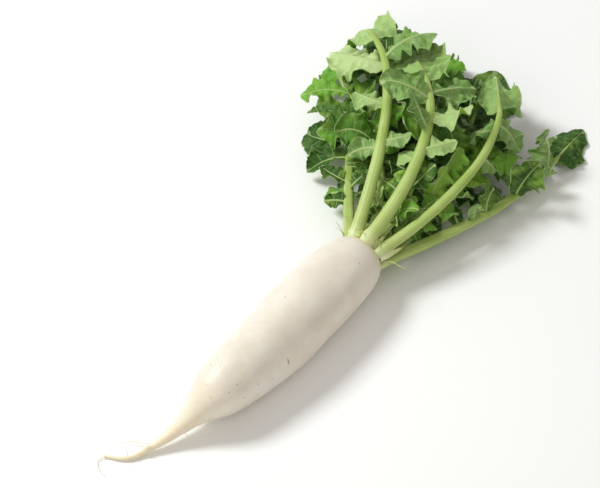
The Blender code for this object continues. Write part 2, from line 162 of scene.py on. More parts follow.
def root_rings(rise, count, sides, finer=None):
    """The rings of the root's skin, from the top of the crown to the end of the tail. rise holds the
    angles of the crown's rings over its rim, and finer gives how far the skin stands out beyond its
    main swellings."""
    axis = unit(CROWN_AXIS)
    rise = np.radians(rise)
    reach = CROWN_TIP_RADIUS + CROWN_LENGTH * np.sin(rise)
    crown_radius = np.maximum(CROWN_RADIUS * np.sqrt(np.cos(rise).clip(0)), CROWN_TIP_RADIUS)
    line = smooth_line(ROOT_STATIONS, count)
    stations = np.vstack([np.column_stack([CROWN_MIDDLE + reach[:, None] * axis, crown_radius]), line])
    along = np.vstack([np.tile(-axis, (len(rise), 1)), unit(np.gradient(line[:, :3], axis=0))])
    middle, radius = stations[:, None, :3], stations[:, 3:]
    side = unit(np.cross(along, UP))
    up = np.cross(side, along)
    turn = 2 * math.pi * np.arange(sides) / sides
    x = middle[..., 0]
    swell = np.sin(2 * turn + LUMPS_ALONG[0] * x) + 0.7 * np.sin(3 * turn + LUMPS_ALONG[1] * x + 1)
    grown = radius * (1 + LUMP * swell)
    if finer:
        grown = grown + finer(x, turn, radius)
    grown = grown[..., None]
    sideways = side[:, None] * grown * np.cos(turn)[:, None]
    upward = up[:, None] * grown * np.sin(turn)[:, None]
    rings = middle + sideways + upward
    rings[..., 2] = np.maximum(rings[..., 2], 0.0)
    return rings


class Skin:
    """The relief of the skin by place on the root: x, the angle round it, and the radius there. Once
    asked for the relief, mark says how far each place is a scar or a pit."""

    def __init__(self, draw):
        self.dents = drawn_dents(draw)
        self.marks = drawn_marks(draw)
        self.mark = None

    def relief(self, x, turn, radius):
        body = radius / FULL_RADIUS
        high = np.zeros(np.broadcast_shapes(x.shape, turn.shape))
        for along_turns, round_turns, size, start in self.dents:
            wave = np.sin(round_turns * turn + along_turns * x + start)
            high += DENT / DENT_WAVES**0.5 * size * body * wave
        wander = 0.9 * np.sin(3 * turn + 40 * x) + 0.6 * np.sin(5 * turn - 31 * x)
        rings = np.sin(2 * math.pi * x / RING_STEP + wander)
        high += RING_HIGH * body * rings * np.sin(9 * x + turn) ** 2
        self.mark = np.zeros_like(high)
        for mark_x, angle, along_size, round_size, deep in (*self.marks, KNOB):
            away = (turn - angle + math.pi) % (2 * math.pi) - math.pi
            hollow = np.exp(-(((x - mark_x) / along_size) ** 2) - (away * radius / round_size) ** 2)
            high -= deep * hollow * ((radius > SCARRED_RADIUS) | (deep < 0))
            self.mark = np.maximum(self.mark, hollow * deep / SCAR_DEEP)
        return high


def ring_faces(rings, sides):
    """Quads between rings of points, wound so that they face outward, and the two end caps."""
    near = np.arange(sides)
    nxt = (near + 1) % sides
    starts = np.arange(rings - 1)[:, None] * sides
    corners = [starts + near, starts + near + sides, starts + nxt + sides, starts + nxt]
    quads = np.stack(corners, axis=-1).reshape(-1, 4).tolist()
    last = (rings - 1) * sides
    return [*quads, list(range(sides)), list(range(last + sides - 1, last - 1, -1))]


def faced_outward(mesh):
    """Turns the faces of a closed mesh outward."""
    bm = bmesh.new()
    bm.from_mesh(mesh)
    bmesh.ops.recalc_face_normals(bm, faces=bm.faces)
    bm.to_mesh(mesh)
    bm.free()


def placed(name, mesh):
    """An object at the origin that holds the mesh."""
    piece = bpy.data.objects.new(name, mesh)
    bpy.context.scene.collection.objects.link(piece)
    return piece


def keep_value(mesh, name, values):
    """Stores one number for each point of the mesh."""
    kept = mesh.attributes.new(name, "FLOAT", "POINT")
    kept.data.foreach_set("value", np.asarray(values, np.float32).ravel())


def linear(hex_code):
    """A screen colour such as "F5F0E8" as linear red, green, blue and alpha."""
    parts = [int(hex_code[i : i + 2], 16) / 255 for i in (0, 2, 4)]
    return (*(c / 12.92 if c <= 0.04045 else ((c + 0.055) / 1.055) ** 2.4 for c in parts), 1.0)


def node(tree, kind, inputs=(), **settings):
    """Adds a node to a tree, sets it, and gives its inputs their values or links."""
    made = tree.nodes.new(kind)
    for key, value in settings.items():
        setattr(made, key, value)
    for socket, value in dict(inputs).items():
        if isinstance(value, bpy.types.NodeSocket):
            tree.links.new(value, made.inputs[socket])
        else:
            made.inputs[socket].default_value = value
    return made


def calc(tree, operation, a, b=0.0):
    """One Math node's result."""
    return node(tree, "ShaderNodeMath", {0: a, 1: b}, operation=operation).outputs[0]


def own_place(tree):
    """Each point's place in the object, in metres."""
    return node(tree, "ShaderNodeTexCoord").outputs["Object"]


def stored(tree, name):
    """The number that the mesh keeps under that name."""
    return node(tree, "ShaderNodeAttribute", attribute_name=name).outputs["Fac"]


def soft_range(tree, value, low, high, to_low=0.0, to_high=1.0):
    """A value eased from low to high, which may run downward."""
    inputs = {"Value": value, "From Min": low, "From Max": high, "To Min": to_low, "To Max": to_high}
    return node(tree, "ShaderNodeMapRange", inputs, interpolation_type="SMOOTHSTEP").outputs[0]


def mixed(tree, share, a, b):
    """Two colours mixed by a share."""
    return node(tree, "ShaderNodeMix", {0: share, 6: a, 7: b}, data_type="RGBA").outputs[2]


def noise(tree, place, size, detail, roughness, distortion=0.0):
    """Noise with features of about that size in metres, or in the units of place."""
    inputs = {"Vector": place, "Scale": 1 / size, "Detail": detail, "Roughness": roughness}
    return node(tree, "ShaderNodeTexNoise", {**inputs, "Distortion": distortion}).outputs["Fac"]


def finish_called(name, roughness, specular):
    """A new material: itself, its tree and its Principled shader."""
    material = bpy.data.materials.new(name)
    material.use_nodes = True
    shader = material.node_tree.nodes["Principled BSDF"]
    shader.inputs["Roughness"].default_value = roughness
    shader.inputs["Specular IOR Level"].default_value = specular
    return material, material.node_tree, shader


def relief(tree, shader, height, distance, strength):
    """Fine relief on a shader, from a height between 0 and 1."""
    bump = node(tree, "ShaderNodeBump", {"Height": height, "Distance": distance, "Strength": strength})
    tree.links.new(bump.outputs["Normal"], shader.inputs["Normal"])


def let_light_in(shader, share, colours, depth):
    """Moist flesh under the skin: the share of light that enters it, how far each colour goes, and the
    depth in metres."""
    shader.inputs["Subsurface Weight"].default_value = share
    shader.inputs["Subsurface Radius"].default_value = colours
    shader.inputs["Subsurface Scale"].default_value = depth


def root_finish():
    """Cream white skin, a little waxy, with cloudy patches, specks, brown scars and a green rim."""
    material, tree, shader = finish_called("root_skin", 0.42, 0.35)
    place = own_place(tree)
    x = node(tree, "ShaderNodeSeparateXYZ", {0: place}).outputs["X"]
    mark = stored(tree, "mark")
    clouds = noise(tree, place, 0.022, 3.0, 0.6)
    patches = noise(tree, place, 0.007, 4.0, 0.6, 0.6)
    grain = noise(tree, place, 0.0011, 3.0, 0.6)
    base = mixed(tree, soft_range(tree, clouds, 0.34, 0.68), linear("EAE2D6"), linear("E4DACB"))
    base = mixed(tree, soft_range(tree, patches, 0.56, 0.78, 0.0, 0.28), base, linear("DBCBAF"))
    base = mixed(tree, soft_range(tree, grain, 0.55, 0.8, 0.0, 0.18), base, linear("CDBD9F"))
    tail = soft_range(tree, calc(tree, "ADD", x, calc(tree, "MULTIPLY", patches, 0.03)), *TAIL_YELLOWS)
    base = mixed(tree, calc(tree, "MULTIPLY", tail, 0.6), base, linear("F0E2BA"))
    inputs = {"Vector": place, "Scale": SPECK_CELLS, "Randomness": 1.0}
    specks = node(tree, "ShaderNodeTexVoronoi", inputs)
    chosen = node(tree, "ShaderNodeSeparateColor", {0: specks.outputs["Color"]}).outputs[0]
    dot = soft_range(tree, specks.outputs["Distance"], *SPECK_EDGE)
    rare = soft_range(tree, x, *SPECKS_THIN_OUT, 0.35, 0.88)
    dot = calc(tree, "MULTIPLY", dot, calc(tree, "GREATER_THAN", chosen, rare))
    base = mixed(tree, calc(tree, "MULTIPLY", dot, 0.62), base, linear("9A7A4C"))
    base = mixed(tree, soft_range(tree, mark, 0.15, 0.9, 0.0, 0.62), base, linear("8D7048"))
    rim_start = calc(tree, "ADD", x, calc(tree, "MULTIPLY", patches, 0.006))
    base = mixed(tree, soft_range(tree, rim_start, *RIM_YELLOWS, 0.0, 0.55), base, linear("E4DFA4"))
    base = mixed(tree, soft_range(tree, x, *CROWN_GREENS), base, linear("A9B564"))
    tree.links.new(base, shader.inputs["Base Color"])
    let_light_in(shader, 0.35, (1.0, 0.72, 0.45), 0.004)
    rough = soft_range(tree, patches, 0.3, 0.8, 0.36, 0.50)
    tree.links.new(rough, shader.inputs["Roughness"])
    height = calc(tree, "ADD", calc(tree, "MULTIPLY", patches, 0.7), calc(tree, "MULTIPLY", grain, 0.3))
    relief(tree, shader, height, 0.00035, 0.5)
    return material


skin = Skin(random.Random(SKIN_SEED))
fine_rise = np.linspace(90, 0, CROWN_STEPS)
skin_rings = root_rings(fine_rise, ROOT_RINGS, ROOT_SIDES, skin.relief)
skin_mesh = bpy.data.meshes.new("taproot")
skin_mesh.from_pydata(skin_rings.reshape(-1, 3), [], ring_faces(*skin_rings.shape[:2]))
faced_outward(skin_mesh)
skin_mesh.shade_smooth()
keep_value(skin_mesh, "mark", skin.mark)
skin_mesh.materials.append(root_finish())
taproot = placed("taproot", skin_mesh)
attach(taproot, "root")
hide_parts("root")

# --- how the leaves grow ------------------------------------------------------------------------------
# Twelve leaves stand on the crown in an outer and an inner ring. Each is a thick stalk that carries
# pairs of side lobes and one end lobe. The lobes settle clear of each other, of the stalks and of the
# ground.


@dataclass
class Leaf:
    """place is the angle round the crown, 0 on its right-hand side and 90 on top. spread is the angle
    that the stalk leaves the crown's axis at. tip, heading and climb are the stalk's far end and its
    direction there. thick is its stalk's width as a share of the usual. bare is the share of the stalk
    below the lobes, and lobe the length of the longest side lobe. lift is how far the lobes are raised
    from lying flat, on the left and on the right of the stalk. hood is how far the halves of the end lobe
    fold down, and hang how strongly it droops. The angles are in degrees."""

    name: str
    place: float
    spread: float
    tip: tuple
    heading: float
    climb: float
    thick: float = 1.0
    bare: float = 0.34
    lobe: float = 0.056
    lift: tuple = (8, 8)
    hood: float = 18
    hang: float = 0.4
    pairs: int = 3
    inner: bool = False

    @property
    def back_up(self):
        """A leaf from the top of the crown arches over and shows its underside."""
        return 0 < self.place < 180 and not self.inner


LEAVES = [
    Leaf("leaf_right_low", -21, 20, (0.282, -0.033, 0.013), 14, -4, 0.86, 0.38, 0.048, (34, 96), 38, pairs=4),
    Leaf("leaf_right_high", 30, 22, (0.262, 0.017, 0.056), 46, -10, 0.82, 0.62, 0.056, (8, -48), 40, pairs=2),
    Leaf("leaf_middle_high", 82, 17, (0.232, 0.074, 0.074), 60, -10, 1.0, 0.46, 0.066, hang=0.5),
    Leaf("leaf_left_high", 134, 27, (0.244, 0.144, 0.060), 66, -18, 0.92, 0.36, 0.066, hang=1.4),
    Leaf("leaf_left_low", 186, 44, (0.188, 0.124, 0.018), 54, -6, 0.80, 0.30, 0.050, pairs=4),
    Leaf("leaf_back_low", 237, 30, (0.256, 0.140, 0.010), 42, -3, 0.90, 0.36, 0.064, pairs=4),
    Leaf("leaf_under", 289, 17, (0.266, 0.050, 0.007), 26, -2, 0.90, 0.26, 0.066, pairs=4),
    Leaf("leaf_inner_top", 60, 8, (0.214, 0.050, 0.050), 30, -6, 1.0, 0.24, 0.050, pairs=5, inner=True),
    Leaf("leaf_inner_right", 348, 8, (0.222, 0.012, 0.028), 8, -12, 1.0, 0.24, 0.052, pairs=5, inner=True),
    Leaf("leaf_inner_left", 132, 18, (0.212, 0.150, 0.036), 56, -10, 1.0, 0.20, 0.056, pairs=5, inner=True),
    Leaf("leaf_inner_back", 204, 14, (0.196, 0.104, 0.030), 46, -6, 1.0, 0.20, 0.050, pairs=5, inner=True),
    Leaf("leaf_inner_low", 276, 10, (0.262, 0.092, 0.024), 30, -8, 1.0, 0.26, 0.056, pairs=5, inner=True),
]

# of a stalk's foot: how far out from the crown's axis and up along it, and its radius
OUTER_STALK = dict(out=0.0157, beyond=0.0016, radius=0.0061)
INNER_STALK = dict(out=0.0064, beyond=0.0082, radius=0.0034)
COARSE_RINGS = 12
COARSE_SIDES = 8
STALK_TIP_RADIUS = 0.0015
STALK_TAPER = 0.5  # below 1 the stalk stays thick for most of its length
STALK_HEIGHT = 0.88  # as a share of its width
STALK_FLARE = 0.08  # extra width at its foot
STALK_FLARE_LENGTH = 0.05  # as a share of its length
STALK_LEAVES = 0.42  # how long it keeps its first and its last direction, as shares of its span
STALK_ARRIVES = 0.30
GROOVE = 0.22  # as a share of its radius

LOBE_WIDTH = 0.37  # half a side lobe's width, as a share of its length
LOBE_FULLNESS = 0.72  # below 1 the lobe is blunt at both ends
LOBE_LEANS = (62, 92)  # degrees between a side lobe and the stalk
LEAN_LOSS = 18  # how much less that gets towards the stalk's end
LOBE_RAISED = 14  # degrees that a lobe may stand above or below its leaf's lift
LOBE_TWIST = 44  # degrees that it may turn along its length, either way
FIRST_LOBE = 0.42  # the lowest side lobe's length, as a share of the leaf's longest
LOBE_PLACES = 60  # along the stalk
END_LOBE = 0.98
END_LOBE_WIDTH = 0.46
END_LOBE_OVERLAP = 0.006  # how far it starts before the stalk's end
VEIN_STEPS = 32
BLADE_THICK = 0.0007
VEIN_HIGH = 0.0016
VEIN_HALF_WIDTH = 0.0019
TOOTH_FORWARD = 0.62  # where a tooth's point is between its two notches
TOOTH_JITTER = 0.12  # how far points and notches stray, as a share of the teeth's spacing
TOOTH_POINT = (0.94, 1.06)  # the edge's place at points and notches, as a share of the half width
TOOTH_NOTCH = (0.70, 0.86)
FLOOR_GAP = 0.0014  # the lowest height of a blade's middle surface
FLOOR_SOFTNESS = 0.003  # how gently a piece comes to lie on the ground
CLEARANCE = 0.0007  # extra thickness of stalks and lobes while they are laid out
FOOT_POINTS = 5  # the number of the last point at a lobe's foot that may touch its own leaf

SIZES = (1.0, 0.84, 0.70, 0.56, 0.44)  # tried in turn, each with all these bends in degrees
LIFTS = (0, 14, -14, 28, -28, 44, 62, -44, 80)


def turned(v, axis, degrees):
    """v turned about axis by the right-hand rule."""
    a = math.radians(degrees)
    k = unit(axis)
    return v * math.cos(a) + np.cross(k, v) * math.sin(a) + k * np.dot(k, v) * (1 - math.cos(a))


def settled(points, gap):
    """The points, with those lower than gap, or nearly so, laid softly at that height."""
    z = points[..., 2] - gap
    points[..., 2] = gap + 0.5 * (z + np.sqrt(z**2 + FLOOR_SOFTNESS**2))
    return points


def lofted(rings):
    """(points, triangles) of the closed skin over rings of equal count."""
    count, sides = len(rings), len(rings[0])
    points = [p for ring in rings for p in ring]
    triangles = []
    for i in range(count - 1):
        for j in range(sides):
            a = i * sides + j
            b = i * sides + (j + 1) % sides
            triangles += [(a, a + sides, b), (b, a + sides, b + sides)]
    last = (count - 1) * sides
    for j in range(1, sides - 1):
        triangles += [(0, j, j + 1), (last, last + j + 1, last + j)]
    return np.array(points), triangles


def crown_place(degrees, out, beyond):
    """A point on the crown, and the outward direction there."""
    axis = unit(CROWN_AXIS)
    right = unit(np.cross(axis, UP))
    a = math.radians(degrees)
    outward = right * math.cos(a) + np.cross(right, axis) * math.sin(a)
    return CROWN_MIDDLE + axis * beyond + outward * out, outward


def stalk_of(leaf):
    return INNER_STALK if leaf.inner else OUTER_STALK


def stalk_line(leaf, count):
    """Points, and the forward, up and right-hand directions, along a leaf's stalk."""
    start, outward = crown_place(leaf.place, stalk_of(leaf)["out"], stalk_of(leaf)["beyond"])
    spread, heading, climb = map(math.radians, (leaf.spread, leaf.heading, leaf.climb))
    leaves = unit(CROWN_AXIS) * math.cos(spread) + outward * math.sin(spread)
    level = np.array([math.cos(heading), math.sin(heading), 0.0])
    arrives = level * math.cos(climb) + UP * math.sin(climb)
    tip = np.array(leaf.tip)
    span = np.linalg.norm(tip - start)
    first = start + leaves * span * STALK_LEAVES
    last = tip - arrives * span * STALK_ARRIVES
    t = np.linspace(0, 1, count)[:, None]
    line = start * (1 - t) ** 3 + 3 * first * t * (1 - t) ** 2 + 3 * last * t**2 * (1 - t) + tip * t**3
    line = settled(line, np.array([stalk_radius(leaf, share) for share in t[:, 0]]))
    along = unit(np.gradient(line, axis=0))
    up = unit(UP - along * (along @ UP)[:, None])
    return line, along, up, np.cross(along, up)


def stalk_radius(leaf, share):
    """Half the stalk's width at a share of its length: it flares at the foot and thins to the tip."""
    thinning = (stalk_of(leaf)["radius"] * leaf.thick - STALK_TIP_RADIUS) * (1 - share) ** STALK_TAPER
    return (STALK_TIP_RADIUS + thinning) * (1 + STALK_FLARE * math.exp(-share / STALK_FLARE_LENGTH))


def stalk_rings(leaf, extra):
    """Rings of the stalk, extra wide: rounded outside, with a shallow groove down the inner face."""
    line, _, up, right = stalk_line(leaf, COARSE_RINGS)
    inner_face = -math.pi / 2 if leaf.back_up else math.pi / 2
    rings = []
    for i in range(COARSE_RINGS):
        radius = stalk_radius(leaf, i / (COARSE_RINGS - 1))
        ring = []
        for j in range(COARSE_SIDES):
            a = 2 * math.pi * j / COARSE_SIDES
            groove = GROOVE * max(0.0, math.cos(a - inner_face)) ** 4
            r = radius * (1 - groove) + extra
            ring.append(line[i] + (right[i] * math.cos(a) + up[i] * STALK_HEIGHT * math.sin(a)) * r)
        rings.append(ring)
    return rings


@dataclass
class Lobe:
    """One lobe of a leaf, at its side or, with end, at its end. The middle vein starts at foot and heads
    along, curling towards forward by sweep and towards the ground by droop. The blade lies square to up,
    its halves raised by fold degrees, and twist turns it along its length. belly moves its widest part
    towards the foot, below 1, or the tip. wave is how far its edges rise and fall, waves how often, and
    phases where each side starts. stations are the shares of the length at which the margin has a notch
    or a tooth, and margins how far it stands out there, left and right."""

    end: bool
    foot: np.ndarray
    along: np.ndarray
    up: np.ndarray
    forward: np.ndarray
    length: float
    width: float
    belly: float
    sweep: float
    droop: float
    fold: float
    twist: float
    wave: float
    waves: float
    phases: tuple
    stations: list
    margins: tuple


def drawn_margin(draw, teeth, shift):
    """How far the margin stands out at each station: teeth on every other one."""
    tooth = [(i + shift) % 2 == 1 for i in range(2 * teeth + 1)]
    return [draw.uniform(*(TOOTH_POINT if point else TOOTH_NOTCH)) for point in tooth]


def drawn_lobe(draw, leaf, place, side, rank):
    """A lobe on one side of the stalk (-1 left, 1 right) or at its end (0). rank, 0 to 1, is its place
    among the lobes."""
    at, along, up, right = place
    face = -1 if leaf.back_up else 1
    end = side == 0
    teeth = 5 if end else 3 + round(rank)
    lean = 0.0 if end else math.radians(draw.uniform(*LOBE_LEANS) - LEAN_LOSS * rank)
    own_lift = 0.0 if end else leaf.lift[side > 0] + draw.uniform(-LOBE_RAISED, LOBE_RAISED)
    raised = math.radians(own_lift)
    outward = right * side * math.cos(raised) + up * math.sin(raised)
    heading = along * math.cos(lean) + outward * math.sin(lean)
    topside = up * math.cos(raised) - right * side * math.sin(raised)
    normal = np.cross(heading, np.cross(topside, heading))
    share = END_LOBE if end else FIRST_LOBE + (1 - FIRST_LOBE) * rank
    length = leaf.lobe * draw.uniform(0.86, 1.16) * share
    jitter = TOOTH_JITTER / teeth
    points = [(k + TOOTH_FORWARD) / teeth + draw.uniform(-jitter, jitter) for k in range(teeth)]
    notches = [k / teeth + draw.uniform(-jitter, jitter) for k in range(1, teeth)]
    return Lobe(
        end=end,
        foot=at - along * (END_LOBE_OVERLAP if end else 0.0),
        along=heading,
        up=unit(normal) * face,
        forward=along,
        length=length,
        width=length * (END_LOBE_WIDTH if end else LOBE_WIDTH * draw.uniform(0.86, 1.18)),
        belly=0.85 if end else draw.uniform(0.92, 1.18),
        sweep=draw.uniform(-0.5, 0.5) if end else draw.uniform(-0.8, 1.3),
        droop=leaf.hang if end else draw.uniform(0.3, 1.3),
        fold=-face * leaf.hood if end else draw.uniform(-12, 32),
        twist=draw.uniform(-LOBE_TWIST, LOBE_TWIST),
        wave=length * draw.uniform(0.07, 0.13),
        waves=draw.uniform(1.2, 2.1),
        phases=(draw.random(), draw.random()),
        stations=[0.0, *sorted(points + notches), 1.0],
        margins=(drawn_margin(draw, teeth, 0), drawn_margin(draw, teeth, 1)),
    )


def lobes_of(leaf):
    """The lobes that the leaf would carry alone, in pairs along the stalk and one at its end."""
    draw = random.Random(leaf.name)
    line, along, up, right = stalk_line(leaf, LOBE_PLACES)
    lobes = []
    for pair in range(leaf.pairs + 1):
        rank = pair / leaf.pairs
        for side in (0,) if pair == leaf.pairs else (-1, 1):
            stagger = (0.05 * side + draw.uniform(-0.03, 0.03)) * abs(side)
            share = leaf.bare + (1 - leaf.bare) * (rank + stagger)
            i = min(LOBE_PLACES - 1, round(share * (LOBE_PLACES - 1)))
            lobes.append(drawn_lobe(draw, leaf, (line[i], along[i], up[i], right[i]), side, rank))
    return lobes


def lobe_frame(lobe, s):
    """The middle vein's points, and the across and normal directions of the blade there."""
    steps = np.linspace(0, 1, VEIN_STEPS + 1)
    heading = unit(lobe.along + steps[:, None] * (lobe.sweep * lobe.forward - lobe.droop * UP))
    runs = (heading[1:] + heading[:-1]) / 2 * lobe.length / VEIN_STEPS
    vein = lobe.foot + np.vstack([np.zeros(3), np.cumsum(runs, axis=0)])
    centre = np.stack([np.interp(s, steps, vein[:, k]) for k in range(3)], axis=-1)
    along = unit(np.stack([np.interp(s, steps, heading[:, k]) for k in range(3)], axis=-1))
    across = unit(np.cross(along, lobe.up))
    turn = np.radians(lobe.twist * s)[:, None]
    across = across * np.cos(turn) + np.cross(along, across) * np.sin(turn)
    return centre, across, np.cross(across, along)


def calm_at_ends(s):
    """1 in the middle of a lobe, falling to 0 at its foot and tip, where nothing waves."""
    return np.sqrt(np.clip(4 * s * (1 - s), 0, 1))


def lobe_surface(lobe, s, v):
    """The middle surface of a lobe: s runs from its foot to its tip, v from -1 to 1 across it."""
    centre, across, normal = lobe_frame(lobe, s)
    body = lobe.width * np.sin(np.pi * np.clip(s, 0, 1) ** lobe.belly) ** LOBE_FULLNESS
    left, right = (np.interp(s, lobe.stations, margin) for margin in lobe.margins)
    half = body[:, None] * np.where(v < 0, left[:, None], right[:, None])
    half = np.maximum(half, VEIN_HALF_WIDTH * (1 - s)[:, None])
    phase = np.where(v < 0, *lobe.phases)
    ripple = np.sin(2 * np.pi * (lobe.waves * s[:, None] + phase)) * calm_at_ends(s)[:, None]
    fold = math.radians(lobe.fold)
    height = half * np.abs(v) * math.sin(fold) + lobe.wave * ripple * v**2
    reach = half * v * math.cos(fold)
    surface = centre[:, None] + across[:, None] * reach[..., None] + normal[:, None] * height[..., None]
    return settled(surface, FLOOR_GAP)


def lobe_solid(lobe, extra):
    """(points, triangles) of a closed thin lobe, extra thick, with both faces cut into the same
    triangles."""
    s = np.array(lobe.stations)
    middle = lobe_surface(lobe, s, np.array([-1.0, 0.0, 1.0]))
    side_run = middle[:, 2] - middle[:, 0]
    side_run[-1] = side_run[-2]
    normal = unit(np.cross(side_run[:, None], np.gradient(middle, axis=0)))
    edge = BLADE_THICK / 2 + extra
    vein = edge + np.outer(VEIN_HIGH * (1 - 0.7 * s), [0, 1, 0])
    upper = middle + normal * edge
    lower = middle - normal * vein[..., None]
    rows = len(s) - 1
    end = 3 * rows
    shift = end + 1
    faces = [np.vstack([side[:rows].reshape(-1, 3), side[rows, 1]]) for side in (upper, lower)]
    face = []
    for a in range(0, end - 3, 3):
        face += [(a, a + 3, a + 1), (a + 1, a + 3, a + 4)]
        face += [(a + 1, a + 4, a + 5), (a + 1, a + 5, a + 2)]
    face += [(end - 3, end, end - 2), (end - 2, end, end - 1)]
    rim = [1, 0, *range(3, end, 3), end, *range(end - 1, 1, -3), 1]
    sides = [t for a, b in zip(rim, rim[1:]) for t in ((a, b, a + shift), (b, b + shift, a + shift))]
    return np.vstack(faces), face + [(a + shift, c + shift, b + shift) for a, b, c in face] + sides


class Thicket:
    """What is already in place, and the leaf that each piece of it belongs to."""

    def __init__(self):
        self.taken = []

    def add(self, owner, points, triangles):
        tree = BVHTree.FromPolygons([Vector(p) for p in points], triangles)
        self.taken.append((owner, tree, points.min(axis=0), points.max(axis=0)))

    def leaves_room(self, owner, points, triangles):
        """Whether a lobe is clear of all of it. The lobe's foot may touch its own leaf."""
        low = points.min(axis=0)
        high = points.max(axis=0)
        half = len(points) // 2
        past_foot = [t for t in triangles if all(i % half > FOOT_POINTS for i in t)]
        spots = [Vector(p) for p in points]
        whole = BVHTree.FromPolygons(spots, triangles)
        blade = BVHTree.FromPolygons(spots, past_foot)
        for leaf, tree, below, above in self.taken:
            apart = (low > above).any() or (high < below).any()
            if not apart and tree.overlap(blade if leaf == owner else whole):
                return False
        return True


def bent(lobe, degrees, size):
    """The lobe turned up about its foot, and made smaller."""
    hinge = np.cross(lobe.along, lobe.up)
    return replace(
        lobe,
        along=turned(lobe.along, hinge, degrees),
        up=turned(lobe.up, hinge, degrees),
        length=lobe.length * size,
        width=lobe.width * size,
        wave=lobe.wave * size,
    )


def standing(leaves, root_skin):
    """The root and the bare stalks, which are in place before any lobe is."""
    thicket = Thicket()
    thicket.add("root", *root_skin)
    for leaf in leaves:
        thicket.add(leaf.name, *lofted(stalk_rings(leaf, CLEARANCE)))
    return thicket


def laid_out(wanted, thicket):
    """The lobes of each leaf, out of pairs of its name and a lobe, bent clear of all that is in place.
    End lobes are placed first, then the largest, and one that finds no place is left out."""
    placed = {name: [] for name, _ in wanted}
    for name, lobe in sorted(wanted, key=lambda item: (not item[1].end, -item[1].length)):
        for size, lift in itertools.product(SIZES, LIFTS):
            trial = bent(lobe, lift, size)
            solid = lobe_solid(trial, CLEARANCE)
            if thicket.leaves_room(name, *solid):
                thicket.add(name, *solid)
                placed[name].append(trial)
                break
    return placed


COARSE_CROWN = (90, 60, 25, 0)
COARSE_ROOT_RINGS = 30
COARSE_ROOT_SIDES = 24
root_solid = lofted(root_rings(COARSE_CROWN, COARSE_ROOT_RINGS, COARSE_ROOT_SIDES))
thicket = standing(LEAVES, root_solid)
layout = laid_out([(leaf.name, lobe) for leaf in LEAVES for lobe in lobes_of(leaf)], thicket)

# --- leaf stalks --------------------------------------------------------------------------------------
# Each stalk is a firm, juicy leaf stem: nearly round, finely ribbed outside and grooved down its inner
# face. It grows out of the crown on a broad, paler foot and thins into the middle vein of the end lobe.

STALK_STEP = 0.0022  # between the points of a stalk's path
STALK_SIDES = 55
STALK_RIBS = 11
STALK_RIB_HIGH = 0.012  # as a share of the stalk's radius
ROOTED = 0.0065  # how far back into the crown a stalk's foot reaches
ROOTED_STEPS = 5
ROOTED_INWARD = 0.50  # how much the buried foot turns towards the crown's axis
ROOTED_THINNER = 0.22  # how much the buried foot thins, as a share of its radius
STALK_SWAY = 0.0003  # small irregular bends
STALK_UNEVEN = 0.015  # how far its thickness varies, as a share of its radius
VEIN_SHARE = 0.55  # how far out along the end lobe the stalk runs on as its middle vein
VEIN_POINTS = 26
VEIN_END_RADIUS = 0.0003
VEIN_SUNK = 0.75  # how far the vein stands out under the blade, as a share of its radius
STREAKS = 3.0  # the size of the ring that the streaks' pattern is taken round


def captured(tree, geometry, name, value):
    """Keeps a value on each point of a geometry, through what is done to it next."""
    kept = node(tree, "GeometryNodeCaptureAttribute", {"Geometry": geometry})
    kept.capture_items.new("FLOAT", name)
    tree.links.new(value, kept.inputs[name])
    return kept.outputs


def carried(tree, name):
    """The number that each point of the path carries under that name."""
    inputs = {"Name": name}
    return node(tree, "GeometryNodeInputNamedAttribute", inputs, data_type="FLOAT").outputs["Attribute"]


